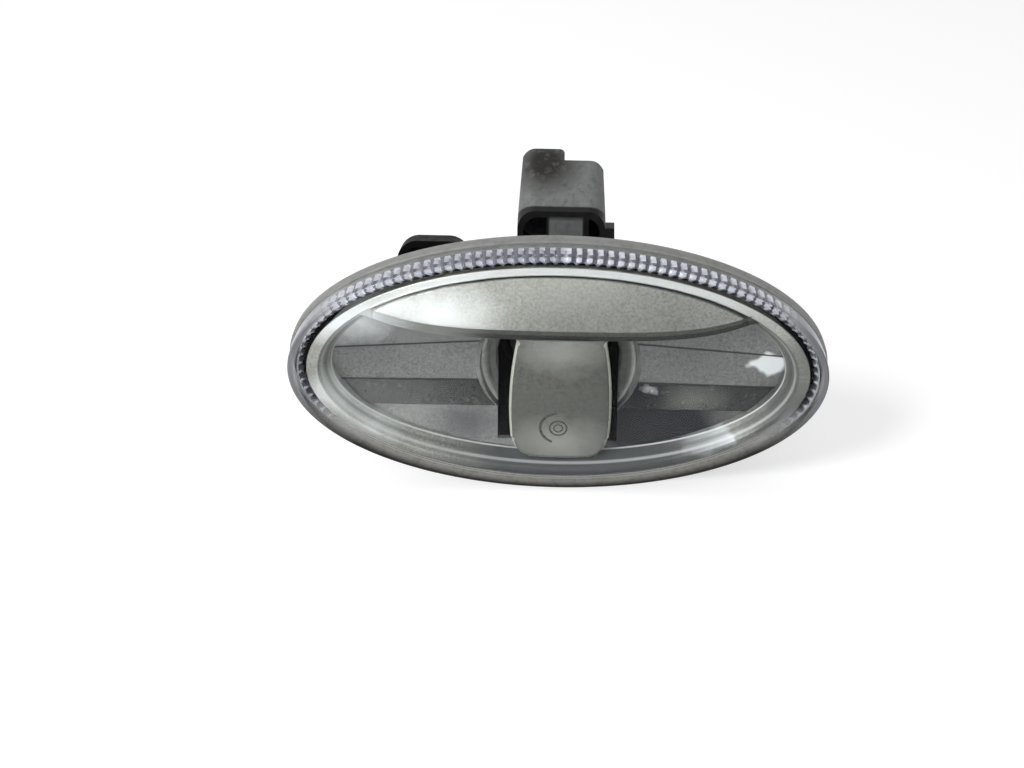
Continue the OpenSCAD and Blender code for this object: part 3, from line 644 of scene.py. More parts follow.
class LAMP_OT_lens(bpy.types.Operator):
    """Clear lens: foot flange, side wall with its ring of prisms, front corner and dome"""

    bl_idname = "lamp.lens"
    bl_label = "Make Lens"

    def execute(self, context):
        scene, colours = context.scene, context.scene.lamp_colours
        sizes = in_mm(scene.lamp_lens)
        a, b = sizes["half_length"], sizes["half_height"]
        wall, rise = sizes["wall_height"], sizes["dome_rise"]
        count = 4 * scene.lamp_lens.prisms
        border, corner, thick, steps = 3.4, 0.5, 2.0, 22
        turns = equal_turns(a, b, count)

        def ring(inset, depth, deeper=0.0, pinch=0.0):
            """Points set in from the side wall. Each fourth stands deeper in, as a prism's ridge."""
            points = []
            for j, t in enumerate(turns):
                off = j % 4 - 2
                t -= off * pinch * math.tau / count if abs(off) < 2 else 0
                step = inset + deeper * (1 - abs(off) / 2)
                points.append(((a - step) * math.cos(t), (b - step) * math.sin(t), depth))
            return points

        def dome(depth, share):
            """Points on a dome, at a share of the way from its top to its border."""
            return [((a - border) * share * math.cos(t), (b - border) * share * math.sin(t),
                     depth + rise * (1 - share * share)) for t in turns]

        outer = [ring(*spot) for spot in FLANGE] + [ring(0.1, wall - corner)]
        outer += [ring(0.1 + corner - corner * math.cos(t), wall - corner + corner * math.sin(t))
                  for t in (math.radians(15 * k) for k in range(1, 7))]
        outer += [ring(border - 0.35, wall - 0.02)]
        outer += [dome(wall, 1 - k / steps) for k in range(steps)]
        inner_front, depth = wall - sizes["skin"], sizes["prism_depth"]
        inner = [dome(inner_front, 1 - k / steps) for k in range(steps)]
        inner.reverse()
        inner += [ring(thick + 0.4, inner_front), ring(thick, inner_front - 0.3),
                  ring(thick, inner_front - 1.5, depth, 0.6), ring(thick, 3.9, depth, 0.3),
                  ring(thick, 3.3), ring(thick, 0)]
        skin = Skin()
        rows = skin.loft(outer)
        skin.fan(rows[-1], (0, 0, wall + rise))
        inside = skin.loft(inner)
        skin.fan(inside[0], (0, 0, inner_front + rise))
        skin.join(inside[-1], rows[0], True)
        lens = skin.piece("lens_shell", clear_plastic(colours), "lamp", sharp=24)
        # Prism faces: painted shade on one flank, and a painted glint on the flank towards the middle and on
        # the roof.
        for material in (frosted_foot(), prism_face("prism_shaded_side", shade(138, 140, 150), 0.3),
                         prism_face("prism_lit_side", shade(232, 233, 240), 0.1),
                         prism_face("prism_roof_glint", shade(253, 253, 255), 0.5)):
            lens.data.materials.append(material)
        self.paint(lens.data, a, b, inner_front)
        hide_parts("lens")
        return {"FINISHED"}

    def paint(self, mesh, a, b, inner_front):
        """Frosts the foot, and gives each prism a flank in painted shade, a flank with a painted glint and a
        roof with a painted glint.
        """
        foot, side, lit_side, roof = 1, 2, 3, 4
        roof_from = inner_front - 1.4
        for face in mesh.polygons:
            x, y, depth = face_spot(face)
            along = Vector((-y / b ** 2, 0, x / a ** 2)).normalized().dot(face.normal)
            inside = math.hypot(x / (a - 1.5), y / (b - 1.5)) < 1
            sloping = math.hypot(x / (a - 2.26), y / (b - 2.26)) < 1
            towards_middle = along * x < 0 or abs(x - 1) < 1.2
            if depth < FLANGE[-1][1] + 0.01:
                face.material_index = foot
            # Painted shade on the prisms' far flanks; painted glints on the near flanks and the roofs.
            elif inside and depth < inner_front - 0.25:
                if depth > roof_from and sloping and y > -13:
                    face.material_index = roof
                elif depth < roof_from and abs(along) > 0.25 and towards_middle and y > -15:
                    face.material_index = lit_side
                else:
                    face.material_index = side


# Painted highlights and painted shade on the satin pieces, as soft patches: x, height, radius (mm),
# softness, amount, colour.
HIGHLIGHT, SOFT_HIGHLIGHT, PAINTED_SHADE, DEEP_SHADE = (shade(236, 238, 236), shade(176, 177, 168), shade(70, 71, 72),
                          shade(34, 34, 38))
RIM_PAINTED_SHADING = ((-40, 13, 9, 0.8, 0.8, HIGHLIGHT), (32, -17.5, 5, 0.5, 1.0, HIGHLIGHT),
               (36.5, -15.8, 3.5, 0.4, 1.0, HIGHLIGHT),
               (-46, -6, 12, 0.9, 0.8, HIGHLIGHT), (-40, -14, 9, 0.9, 0.55, HIGHLIGHT),
               (6, -24, 38, 0.5, 1.0, PAINTED_SHADE), (36, -20, 16, 0.8, 0.45, PAINTED_SHADE),
               (50, -7, 12, 0.7, 0.7, PAINTED_SHADE), (54, 3, 15, 0.5, 0.5, PAINTED_SHADE),
               (-47, 11, 9, 0.8, 0.8, HIGHLIGHT), (46, -12.5, 7, 0.6, 0.6, PAINTED_SHADE),
               (-57, -1, 8, 0.9, 0.5, PAINTED_SHADE))
HOOD_PAINTED_SHADING = ((-25, 14.5, 15.5, 0.9, 0.6, HIGHLIGHT), (-38, 16, 9, 0.7, 0.55, HIGHLIGHT),
                (0, 22, 19, 0.9, 0.4, SOFT_HIGHLIGHT), (24, 12, 26, 0.9, 0.45, PAINTED_SHADE), (0, 11, 18, 0.8, 0.35, PAINTED_SHADE))
LIP_PAINTED_SHADING = ((-27, 9, 12, 0.9, 0.5, SOFT_HIGHLIGHT), (-42, 13, 14, 0.8, 0.9, HIGHLIGHT))
FACET_PAINTED_SHADING = ((-43, 9.5, 9, 0.95, 0.8, HIGHLIGHT), (45.3, 1.2, 4.7, 0.3, 1.0, HIGHLIGHT),
                 (19.8, -6.6, 2, 0.5, 0.9, HIGHLIGHT), (-33, -14, 9, 0.9, 0.15, SOFT_HIGHLIGHT),
                 (-20, -15, 9, 0.8, 0.7, PAINTED_SHADE),
                 (22, -16, 20, 0.5, 1.0, DEEP_SHADE), (28, 1, 14, 0.9, 0.25, PAINTED_SHADE),
                 (-40, 3, 10, 0.9, 0.3, PAINTED_SHADE))
SHADED_FACET_PAINTED_SHADING = ((45.3, 1.2, 4.7, 0.3, 1.0, HIGHLIGHT), (19.8, -6.6, 2, 0.5, 0.9, HIGHLIGHT),
                (30, -8.5, 9, 0.9, 0.25, SOFT_HIGHLIGHT), (16, -8, 11, 0.8, 0.95, DEEP_SHADE))
SHIELD_PAINTED_SHADING = ((0.6, 7, 12, 0.8, 0.45, SOFT_HIGHLIGHT), (0.6, -17, 13, 0.9, 0.5, SOFT_HIGHLIGHT))
# Painted highlight and painted shade bands along the sloping shelf: height above the lens foot, half width
# (mm), amount and colour.
RIM_PAINTED_BANDS = ((3.8, 0.25, 0.6, HIGHLIGHT), (5.2, 0.5, 0.4, PAINTED_SHADE), (6.3, 0.4, 0.35, HIGHLIGHT))


def hood_depth(sizes, x, y):
    """Height of the hood's domed top above the lens foot."""
    rise, past = 2, 0.6
    share = (x / (sizes["rim_length"] + past)) ** 2 + (y / (sizes["rim_height"] + past)) ** 2
    return sizes["rim_front"] + rise * (1 - min(share, 1))


class LAMP_OT_rim(bpy.types.Operator):
    """Reflector rim: outer skirt, flat top, sloping shelf and the wall of the bowl"""

    bl_idname = "lamp.rim"
    bl_label = "Make Reflector Rim"

    def execute(self, context):
        scene = context.scene
        sizes = in_mm(scene.lamp_reflector)
        a, b, w, front = sizes["rim_length"], sizes["rim_height"], sizes["wall"], sizes["rim_front"]
        back = front - sizes["shelf_depth"]
        p, q = a - sizes["shelf_width"], b - sizes["shelf_width"]
        top = a + w + 1.0, b + w + 0.45  # the flat top stands out over the skirt
        profile = [(a + w, b + w, 2.2), (a + w, b + w, front - 0.7),
                   (*top, front - 0.6), (*top, front), (a, b, front), (p, q, back),
                   (p, q, -1), (p + w, q + w, -1), (p + w, q + w, back - 2.1), (a, b, back - 1.5)]
        skin = Skin()
        skin.loft([oval_ring(*ring, 720) for ring in profile], closed=True)
        finish = satin_grey("satin_rim", scene.lamp_colours.satin, painted_shading=RIM_PAINTED_SHADING)
        # Painted highlight and painted shade bands on the sloping shelf.
        for middle, half, amount, colour in RIM_PAINTED_BANDS:
            off = finish.beside("Y", FOOT_Y - middle * MM)
            finish.tint(finish.ramp(off, half * MM, half * 0.4 * MM, 0, amount), colour)
        # Painted highlight on the rim's flat top, stronger higher up and weaker towards the right end.
        flat = finish.ramp(finish.along("Y"), FOOT_Y - 7.1 * MM, FOOT_Y - 7.25 * MM)
        upper = finish.ramp(finish.along("Z"), 8 * MM, 20 * MM, 0, 0.6)
        less_at_right = finish.ramp(finish.along("X"), 36 * MM, 52 * MM, 1, 0.3)
        finish.tint(finish.both(finish.both(flat, upper), less_at_right), HIGHLIGHT)
        rim = skin.piece("reflector_rim", finish.mat, "lamp", bevel=0.18)
        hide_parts("reflector")
        return {"FINISHED"}


# Each facet's upper and lower edge: height, depth at the middle and depth at the rim.
FACETS = [((21.0, 3.35, 3.5), (4.8, 1.4, 3.3)),
          ((5.2, 1.1, 3.0), (-5.4, 0.8, 1.9)),
          ((-5.0, 0.0, 1.0), (-11.1, 2.1, 2.4)),
          ((-10.7, 1.4, 1.7), (-21.0, 3.45, 3.45))]
SHADED_FACET = 2  # the third one is a darker copy, in painted shade
# Painted shadow lines between the facets: slope up towards the ends, lower and upper limit (mm) and amount.
FACET_SHADOW_LINES = ((0.0516, 5.45, 6.2, 0.85), (0.0, -5.75, -4.8, 0.9))
SLOT_HALF, SLOT_FOOT = 13.2, -19.0  # the slot under the bulb opening: half width and lower end


def facet_rows(sizes, k, start, end, side):
    """Rows of a facet from one height to another, each from the bulb opening out to the rim.

    The first facet's lower edge and the second's upper one lean down towards the rim.
    """
    top, low = FACETS[k]
    along, across, lean, over = 48, 32, 1.6, 0.3
    a = sizes["rim_length"]
    p, q = a - sizes["shelf_width"] + over, sizes["rim_height"] - sizes["shelf_width"] + over
    rows = []
    for i in range(across + 1):
        y = start + (end - start) * i / across
        share = (y - top[0]) / (low[0] - top[0])
        fall = lean * (share if k == 0 else 1 - share if k == 1 else 0)
        middle = top[1] + (low[1] - top[1]) * share
        far = top[2] + (low[2] - top[2]) * share
        near = math.sqrt(max(sizes["collar"] ** 2 - y * y, 0))
        if SLOT_FOOT < y < 0:
            near = max(near, SLOT_HALF)
        reach = max(p * math.sqrt(max(1 - ((y - fall) / q) ** 2, 0)), near + 0.01)
        row = []
        for j in range(along + 1):
            x = near + (reach - near) * j / along
            row.append((side * x, y - fall * j / along, middle + (far - middle) * x / a))
        rows.append(row)
    return rows


class LAMP_OT_facets(bpy.types.Operator):
    """Stepped facets of the bowl, four on each wing, round the bulb opening"""

    bl_idname = "lamp.facets"
    bl_label = "Make Bowl Facets"

    def execute(self, context):
        scene = context.scene
        sizes = in_mm(scene.lamp_reflector)
        colours = scene.lamp_colours
        silvered = satin_grey("silvered_facet", colours.bowl, 0.5, 0.36, 0.46, painted_shading=FACET_PAINTED_SHADING)
        soft = 0.15
        # Painted shadow lines along the joins of the facets.
        for slope, low, high, amount in FACET_SHADOW_LINES:
            height = silvered.maths("ADD", silvered.along("Z"), silvered.both(silvered.beside("X"), slope))
            above = silvered.ramp(height, low * MM, (low + soft) * MM, 0, amount)
            below = silvered.ramp(height, high * MM, (high - soft) * MM)
            silvered.tint(silvered.both(above, below), DEEP_SHADE)
        # The third facet is a darker copy of the silvered finish: painted shade.
        dark = satin_grey("shaded_facet", darker(colours.bowl, 0.22), 0.6, 0.2, 0.3, painted_shading=SHADED_FACET_PAINTED_SHADING)
        for k, (top, low) in enumerate(FACETS):
            spans = [(top[0], low[0])]
            if low[0] < SLOT_FOOT < top[0]:
                spans = [(top[0], SLOT_FOOT + 0.01), (SLOT_FOOT - 0.01, low[0])]
            for part, (start, end) in enumerate(spans):
                for side, word in ((-1, "left"), (1, "right")):
                    skin = Skin()
                    skin.slab(facet_rows(sizes, k, start, end, side), sizes["wall"])
                    facet = skin.piece(f"facet_{k + 1}_{word}" + ("_foot" if part else ""),
                                       (dark if k == SHADED_FACET else silvered).mat, "lamp", bevel=0.1)
        return {"FINISHED"}


class LAMP_OT_collar(bpy.types.Operator):
    """Stepped conical collar round the bulb opening"""

    bl_idname = "lamp.collar"
    bl_label = "Make Collar"

    def execute(self, context):
        sizes = in_mm(context.scene.lamp_reflector)
        inner, outer, w = sizes["opening"], sizes["collar"], sizes["wall"]

        def arc(radius, depth):
            low = -math.acos(min(SLOT_HALF / radius, 1))
            turns = (low + (math.pi - 2 * low) * j / 240 for j in range(241))
            return [(radius * math.cos(t), radius * math.sin(t), depth) for t in turns]

        profile, width = [(outer + 0.3, 2.9), (outer, 1.4)], outer - inner
        for k in range(2):
            r, depth = outer - 0.15 - width * k / 2, 1.4 - 1.1 * k
            profile += [(r, depth), (r - width / 2 + 0.25, depth - 0.7)]
        profile += [(inner, -1), (inner - 0.3, -1.3), (inner - 0.3, -1 - w),
                    (outer + w, -1 - w), (outer + w, 1.4)]
        skin = Skin()
        rows = skin.loft([arc(*ring) for ring in profile], ring=False, closed=True)
        for side in (0, -1):
            skin.cap([r[side] for r in rows], flip=side == 0)
        collar = skin.piece("collar", stepped_collar(), "lamp")
        return {"FINISHED"}


HOOD_LIP, HOOD_DROP = 2.6, 0.75  # height of the hood's bevelled lip, and how far it falls back
LIP_BREAK = 0.45  # share of the way down the lip where its painted shade turns darker
HOOD_CURVE = 4.3, 41, 4.2  # how far the lower edge rises, how far out from the middle, and its power
HOOD_GROOVE = 1.1, 0.75, 0.35  # depth of the groove, its middle in from the rim, and its half width


def hood_edge(sizes, x, up=0.0):
    """Height of the hood's lower edge."""
    rise, at, power = HOOD_CURVE
    return sizes["hood_edge"] + up + rise * (abs(x) / at) ** power


def hood_loop(sizes, x, a, b):
    """Points round the hood's section at x: dome, lip and underside."""
    thick, up = 1.6, 34
    deep, middle, half = HOOD_GROOVE
    top = b * math.sqrt(1 - (x / a) ** 2)
    fold, foot = min(hood_edge(sizes, x, HOOD_LIP), top), min(hood_edge(sizes, x), top)
    base = hood_depth(sizes, x, fold) - HOOD_DROP * (fold - foot) / HOOD_LIP
    loop = []
    for k in range(up + 1):
        y = top + (fold - top) * (k / up) ** 1.7
        away = (1 - math.sqrt((x / a) ** 2 + (y / b) ** 2)) * b
        groove = deep * max(0, 1 - abs(away - middle) / half)
        loop.append((x, y, hood_depth(sizes, x, y) - groove))
    for share in (0.05, LIP_BREAK, 0.94):
        loop.append((x, fold + (foot - fold) * share, loop[up][2] + (base - loop[up][2]) * share))
    loop += [(x, foot, base - 0.2), (x, foot, base - thick), (x, foot, base - thick - 0.05)]
    for k in range(1, 9):
        y = foot + (top - foot) * k / 8
        loop.append((x, y, min(hood_depth(sizes, x, y) - thick, base - 1.1)))
    return loop


class LAMP_OT_hood(bpy.types.Operator):
    """Hood: a domed crescent over the bulb, with a bevelled lip"""

    bl_idname = "lamp.hood"
    bl_label = "Make Hood"

    def execute(self, context):
        scene = context.scene
        sizes = in_mm(scene.lamp_reflector)
        a, b, satin = sizes["rim_length"] + 0.5, sizes["rim_height"] + 0.5, scene.lamp_colours.satin
        low, high = 30.0, a - 0.01  # the hood's tips lie between, and 40 halvings find them
        for _ in range(40):
            tip = (low + high) / 2
            room = b * math.sqrt(1 - (tip / a) ** 2) - hood_edge(sizes, tip)
            low, high = (tip, high) if room > 0 else (low, tip)
        across = 160
        turns = (math.pi * (i / across - 0.5) for i in range(across + 1))
        skin = Skin()
        skin.loft([hood_loop(sizes, tip * math.sin(t), a, b) for t in turns])
        finish = satin_grey("satin_hood", satin, painted_shading=HOOD_PAINTED_SHADING)
        # Painted highlight along the hood's upper outer edge, and a painted shadow line just inside it,
        # weaker to the left.
        share = finish.oval(a, b)
        upper = finish.ramp(finish.along("Z"), 8 * MM, 20 * MM)
        finish.tint(finish.both(finish.ramp(share, 0.98, 0.985, 0, 0.6), upper), HIGHLIGHT)
        shadow_line = finish.both(finish.ramp(share, 0.953, 0.96), finish.ramp(share, 0.982, 0.975))
        less_at_left = finish.ramp(finish.along("X"), -34 * MM, -16 * MM)
        finish.tint(finish.both(shadow_line, less_at_left), PAINTED_SHADE)
        hood = skin.piece("hood", finish.mat, "lamp", sharp=28)
        # The lip is a darker copy of the satin, in painted shade, darkest below the break.
        for name, amount in (("satin_lip_shaded", 0.26), ("satin_lip_foot_shaded", 0.1)):
            hood.data.materials.append(satin_grey(name, darker(satin, amount), painted_shading=LIP_PAINTED_SHADING).mat)
        for face in hood.data.polygons:
            x, y, depth = face_spot(face)
            fold, foot = hood_edge(sizes, x, HOOD_LIP), hood_edge(sizes, x)
            if y < fold - 0.05 and depth < hood_depth(sizes, x, y) - 0.02:
                face.material_index = 1 if y > fold + (foot - fold) * LIP_BREAK else 2
        return {"FINISHED"}


SHIELD_X = 0.6  # the bulb shield's middle
SHIELD_TOP, SHIELD_CREASE, SHIELD_FOOT = 9.0, -4.6, -21.7  # heights
SHIELD_EDGE = 1.25  # radius of its rounded edges


def shield_half(sizes, y):
    """Half width of the bulb shield at a height."""
    side, widest, corner, flare = 92.0, -9.5, 5.0, 1.3
    half = math.sqrt(side ** 2 - (y - widest) ** 2) - (side - sizes["shield_half_width"])
    drop = SHIELD_FOOT + corner - y
    if drop > 0:
        half = min(half, sizes["shield_half_width"] - 5.6 + math.sqrt(max(corner ** 2 - drop ** 2, 0)))
    rise = y - sizes["hood_edge"] + flare
    if rise > 0:
        half += flare - math.sqrt(max(flare ** 2 - min(rise, flare) ** 2, 0))
    return half


def shield_front(sizes, x, y):
    """Height of the shield's front above the lens foot."""
    radius, slope, crease = 60, math.radians(3), math.radians(1.0)
    bow = radius - math.sqrt(radius ** 2 - (x - SHIELD_X) ** 2)
    fold = min(y - SHIELD_CREASE, 0) * math.tan(crease)
    return sizes["rim_front"] + 1 - bow + y * math.tan(slope) + fold


def rounding(inset):
    """How far the shield's rounded edge falls back, so far in from its side."""
    return SHIELD_EDGE * (1 - math.sqrt(max(1 - (1 - min(inset / SHIELD_EDGE, 1)) ** 2, 0)))


class LAMP_OT_shield(bpy.types.Operator):
    """Bulb shield: a bowed tongue with rounded edges, its foot, and the mark that moulding leaves"""

    bl_idname = "lamp.shield"
    bl_label = "Make Bulb Shield"

    def execute(self, context):
        scene = context.scene
        sizes = in_mm(scene.lamp_reflector)
        thick, up, across, even = 1.6, 70, 20, 14
        straight = SHIELD_FOOT + SHIELD_EDGE
        heights = [SHIELD_TOP + (straight - SHIELD_TOP) * i / up for i in range(up + 1)]
        heights += [straight - SHIELD_EDGE * math.sin(math.radians(t)) for t in (18, 36, 54, 72, 90)]
        # Even steps across the middle, closer ones at the rounded sides.
        shares = [math.sin(math.pi / 2 * j / across) if abs(j) > even else
                  math.sin(math.pi / 2 * even / across) * j / even for j in range(-across, across + 1)]
        rows = []
        for y in heights:
            half = max(shield_half(sizes, y), 1.0)
            front = []
            for share in shares:
                x = SHIELD_X + half * share
                drop = max(rounding(half * (1 - abs(share))), rounding(y - SHIELD_FOOT))
                front.append((x, y, shield_front(sizes, x, y) - drop))
            back = [(x, y, shield_front(sizes, x, y) - thick) for x, _, _ in reversed(front)]
            rows.append(front + back)
        skin = Skin()
        made = skin.loft(rows)
        skin.cap(made[0])
        skin.cap(made[-1], flip=True)
        foot = [(-5.5, -21.4), (6.7, -21.4), (6.7, -20), (-5.5, -20)]
        block = skin.loft([[(x, y, z) for x, y in foot] for z in (3.3, sizes["rim_front"] - 1)])
        skin.cap(block[0])
        skin.cap(block[1], flip=True)
        # The shield is a darker copy of the satin, in painted shade; its edges are a lighter copy, a painted
        # highlight.
        satin = satin_grey("satin_shield_shaded", darker(scene.lamp_colours.satin, 0.32), painted_shading=SHIELD_PAINTED_SHADING)
        shield = skin.piece("bulb_shield", satin.mat, "lamp", sharp=40)
        shield.data.materials.append(satin_grey("satin_edge_highlight", shade(206, 207, 192)).mat)
        for face in shield.data.polygons:
            x, y, _ = face_spot(face)
            if abs(x - SHIELD_X) > shield_half(sizes, y) - 0.6 or y < SHIELD_FOOT + 0.45:
                face.material_index = 1
        self.marks(sizes)
        return {"FINISHED"}

    def marks(self, sizes):
        """Two small rings and an open arc round them, proud by the thickness of a hair."""
        middle_x, middle_y, proud, steps, sides = 0.25, -13.2, 0.05, 72, 6
        skin = Skin()
        # Radius, start and end angle, and half width of the line.
        for radius, start, end, width in ((1.85, 0, 360, 0.2), (0.95, 0, 360, 0.16), (3.9, 95, 250, 0.3)):
            closed = end - start == 360
            rows = []
            for i in range(steps if closed else steps + 1):
                t = math.radians(start + (end - start) * i / steps)
                loop = []
                for u in (math.tau * k / sides for k in range(sides)):
                    r = radius + width * math.cos(u)
                    x, y = middle_x + r * math.cos(t), middle_y + r * math.sin(t)
                    loop.append((x, y, shield_front(sizes, x, y) + proud * math.sin(u)))
                rows.append(loop)
            skin.loft(rows, closed=closed)
        mark = skin.piece("mould_mark", ink(shade(42, 42, 38)), "lamp", sharp=60)


class LAMP_OT_finishes(bpy.types.Operator):
    """Finishes of the CAD pieces that stay: housing, gasket, seal, holder, terminals and bulb"""

    bl_idname = "lamp.finishes"
    bl_label = "Finish CAD Pieces"

    def execute(self, context):
        colours = context.scene.lamp_colours
        made = {
            "housing": black_plastic(colours),
            "panel_gasket": soft_rubber("gasket_foam", colours.rubber, 2600, 0.1 * MM),
            "holder_seal": soft_rubber("seal_rubber", darker(colours.rubber, 0.8), 5000, 0.03 * MM),
            "bulb_holder": holder_plastic(colours),
            "terminal_left": bright_metal("terminal_brass", colours.brass),
            "bulb_glass": bulb_clear(),
            "bulb_filament": bright_metal("filament_wire", shade(120, 120, 124), 0.35),
            "bulb_lead_left": bright_metal("lead_wire", shade(190, 190, 186), 0.3),
        }
        made["terminal_right"] = made["terminal_left"]
        made["bulb_lead_right"] = made["bulb_lead_left"]
        for node, material in made.items():
            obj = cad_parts[node]
            for slot in obj.material_slots:
                slot.material = material
            if not obj.material_slots:
                obj.data.materials.append(material)
        return {"FINISHED"}


class LAMP_OT_hoop_web(bpy.types.Operator):
    """Dark web that closes the far end of the spring hoop"""

    bl_idname = "lamp.hoop_web"
    bl_label = "Make Hoop Web"

    def execute(self, context):
        middle_x, middle_y, middle_z = -28.5, 18.3, -15
        half, foot, shoulder, corner_x, corner_y = 6.6, -7.5, -1.8, 3, 1.6
        lean_cos, lean_sin = math.cos(math.radians(12)), math.sin(math.radians(12))
        outline = [(-half, foot), (half, foot), (half, shoulder)]
        outline += [(half - corner_x + corner_x * math.cos(t), shoulder + corner_y * math.sin(t))
                    for t in (math.radians(15 * k) for k in range(1, 7))]
        outline += [(-x, y) for x, y in reversed(outline[2:])]
        ends = [[(middle_x + x, middle_y + y * lean_cos + depth * lean_sin,
                  middle_z + depth * lean_cos - y * lean_sin) for x, y in outline]
                for depth in (-3.2, -4.4)]
        skin = Skin()
        rows = skin.loft(ends)
        skin.cap(rows[0])
        skin.cap(rows[1], flip=True)
        black = darker(context.scene.lamp_colours.housing, 0.6)
        web = skin.piece("hoop_web", soft_rubber("web_black", black, 3000, 0.02 * MM), "lamp")
        return {"FINISHED"}


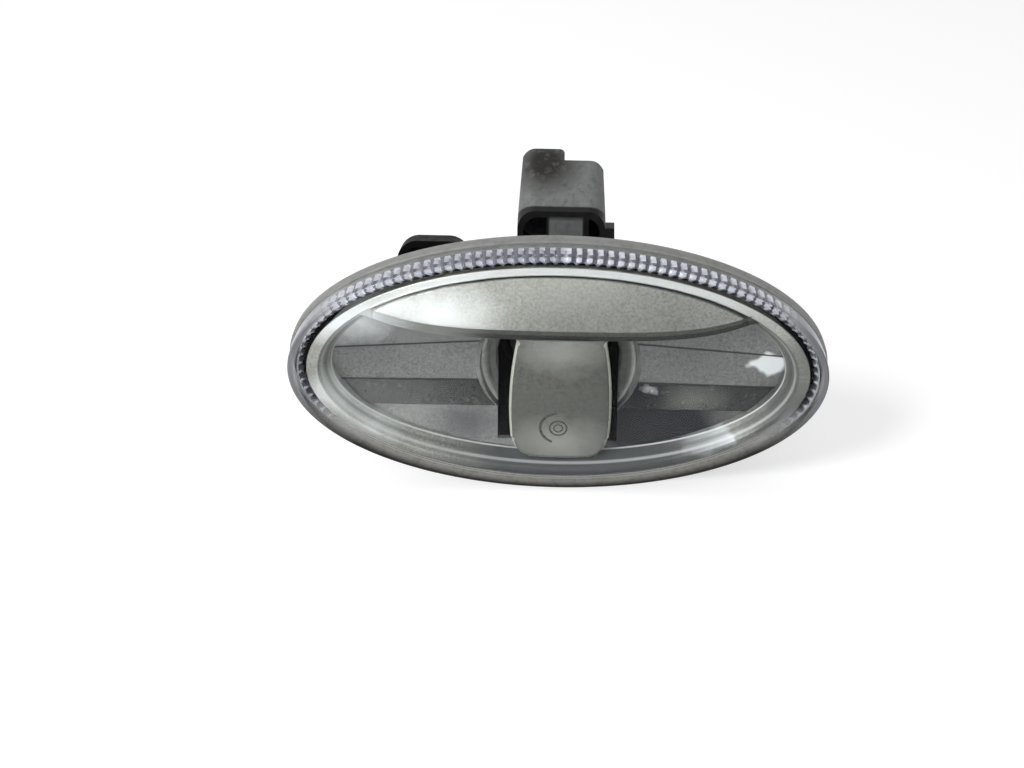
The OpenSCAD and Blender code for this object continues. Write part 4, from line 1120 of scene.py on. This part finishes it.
class LAMP_OT_stage(bpy.types.Operator):
    """Stage: pale floor, white surroundings, soft lights and the camera"""

    bl_idname = "lamp.stage"
    bl_label = "Make Stage"

    def execute(self, context):
        scene = context.scene
        stage = scene.lamp_stage
        self.floor(CAD_BOX[0][2] - 0.0002)
        self.world(scene)
        aim = Vector((0, FOOT_Y, 0))
        self.light("key_light", (-0.5, -0.48, 0.62), aim, 0.25, stage.key_power)
        self.light("fill_light", (0.6, -0.6, 0.35), aim, 0.5, stage.fill_power)
        self.light("rear_light", (-0.45, 0.5, 0.6), aim, 0.4, stage.fill_power * 1.2)
        self.light("glare_light", (-0.05, -0.135, -0.024), Vector((-0.02, FOOT_Y, 0.015)), 0.045,
                   stage.glare_power)
        data = bpy.data.cameras.new("camera")
        data.lens, data.sensor_width = stage.focal_length, 36
        wide = 1024  # the picture's width, which the shift is a share of
        data.shift_x, data.shift_y = -46.6 / wide, -27.0 / wide
        data.clip_start, data.clip_end = 0.01, 20
        camera = add_object("camera", data)
        away = Vector((0, -math.cos(stage.elevation), math.sin(stage.elevation)))
        turn = (-away).to_track_quat("-Z", "Y").to_matrix() @ Matrix.Rotation(stage.roll, 3, "Z")
        camera.matrix_world = Matrix.Translation(aim + away * stage.distance) @ turn.to_4x4()
        scene.camera = camera
        scene.view_settings.view_transform = "Standard"
        return {"FINISHED"}

    def light(self, name, spot, aim, size, power):
        """A round soft light, turned towards its aim."""
        data = bpy.data.lights.new(name, "AREA")
        data.shape, data.size, data.energy = "DISK", size, power
        lamp = add_object(name, data)
        lamp.location = spot
        lamp.rotation_euler = (aim - Vector(spot)).to_track_quat("-Z", "Y").to_euler()

    def seen(self, nodes, links):
        """1 for rays that show the surroundings: from the camera, off gloss and through glass."""
        path = nodes.new("ShaderNodeLightPath")
        total = path.outputs["Is Camera Ray"]
        for ray in ("Is Glossy Ray", "Is Transmission Ray"):
            total = self.larger(nodes, links, total, path.outputs[ray])
        return total

    def larger(self, nodes, links, a, b):
        """The larger of two values."""
        n = nodes.new("ShaderNodeMath")
        n.operation = "MAXIMUM"
        links.new(a, n.inputs[0])
        links.new(b, n.inputs[1])
        return n.outputs[0]

    def floor(self, height):
        """Wide paper floor, with a glow of its own where it is seen."""
        mesh = bpy.data.meshes.new("floor")
        half = 3.0
        corners = ((-half, -half), (half, -half), (half, half), (-half, half))
        mesh.from_pydata([(x, y, height) for x, y in corners], [], [(0, 1, 2, 3)])
        mat = bpy.data.materials.new("floor_paper")
        mat.use_nodes = True
        nodes, links = mat.node_tree.nodes, mat.node_tree.links
        nodes.clear()
        out = nodes.new("ShaderNodeOutputMaterial")
        paper, glow, both = (nodes.new("ShaderNode" + kind)
                             for kind in ("BsdfDiffuse", "Emission", "AddShader"))
        paper.inputs["Color"].default_value = (0.62, 0.62, 0.62, 1)
        links.new(self.seen(nodes, links), glow.inputs["Strength"])
        glow.inputs["Color"].default_value = (0.55, 0.55, 0.55, 1)
        links.new(paper.outputs[0], both.inputs[0])
        links.new(glow.outputs[0], both.inputs[1])
        links.new(both.outputs[0], out.inputs["Surface"])
        mesh.materials.append(mat)
        floor = add_object("floor", mesh)

    def world(self, scene):
        """White backdrop up to a grey ceiling for gloss and glass, and even grey light for the rest."""
        world = bpy.data.worlds.new("white_surroundings")
        world.use_nodes = True
        nodes, links = world.node_tree.nodes, world.node_tree.links
        nodes.clear()
        out, back, mix, ceiling, split, coords, path = (
            nodes.new("ShaderNode" + kind) for kind in
            ("OutputWorld", "Background", "Mix", "MapRange", "SeparateXYZ", "TexCoord", "LightPath"))
        ceiling.interpolation_type = "SMOOTHSTEP"
        for key, value in (("From Min", 0.1), ("From Max", 0.45), ("To Min", 1.0), ("To Max", 0.3)):
            ceiling.inputs[key].default_value = value
        links.new(coords.outputs["Generated"], split.inputs[0])
        links.new(split.outputs[2], ceiling.inputs["Value"])
        white = self.larger(nodes, links, ceiling.outputs[0], path.outputs["Is Camera Ray"])
        mix.data_type = "RGBA"
        mix.inputs[6].default_value = (0.42, 0.42, 0.43, 1)
        links.new(white, mix.inputs[7])
        links.new(self.seen(nodes, links), mix.inputs[0])
        links.new(mix.outputs[2], back.inputs["Color"])
        links.new(back.outputs[0], out.inputs["Surface"])
        scene.world = world


class LAMP_PT_panel(bpy.types.Panel):
    """The lamp's sizes, colours and pieces"""

    bl_idname = "LAMP_PT_panel"
    bl_label = "Side Repeater Lamp"
    bl_space_type = "VIEW_3D"
    bl_region_type = "UI"
    bl_category = "Lamp"

    def draw(self, context):
        layout, scene = self.layout, context.scene
        for title, group in (("Lens", scene.lamp_lens), ("Reflector", scene.lamp_reflector),
                             ("Colours", scene.lamp_colours), ("Stage", scene.lamp_stage)):
            box = layout.box()
            box.label(text=title)
            for prop in group.bl_rna.properties:
                if prop.identifier not in ("rna_type", "name"):
                    box.prop(group, prop.identifier)
        for operator in OPERATORS:
            layout.operator(operator.bl_idname)


OPERATORS = (LAMP_OT_stage, LAMP_OT_finishes, LAMP_OT_rim, LAMP_OT_facets, LAMP_OT_collar,
             LAMP_OT_hood, LAMP_OT_shield, LAMP_OT_hoop_web, LAMP_OT_lens)
GROUPS = {"lamp_lens": LensSizes, "lamp_reflector": ReflectorSizes,
          "lamp_colours": LampColours, "lamp_stage": StageSettings}


def register():
    for cls in (*GROUPS.values(), *OPERATORS, LAMP_PT_panel):
        bpy.utils.register_class(cls)
    for name, group in GROUPS.items():
        setattr(bpy.types.Scene, name, PointerProperty(type=group))


def unregister():
    for name in GROUPS:
        delattr(bpy.types.Scene, name)
    for cls in reversed((*GROUPS.values(), *OPERATORS, LAMP_PT_panel)):
        bpy.utils.unregister_class(cls)


def main():
    register()
    for operator in OPERATORS:
        group, name = operator.bl_idname.split(".")
        getattr(getattr(bpy.ops, group), name)()


if __name__ == "__main__":
    main()
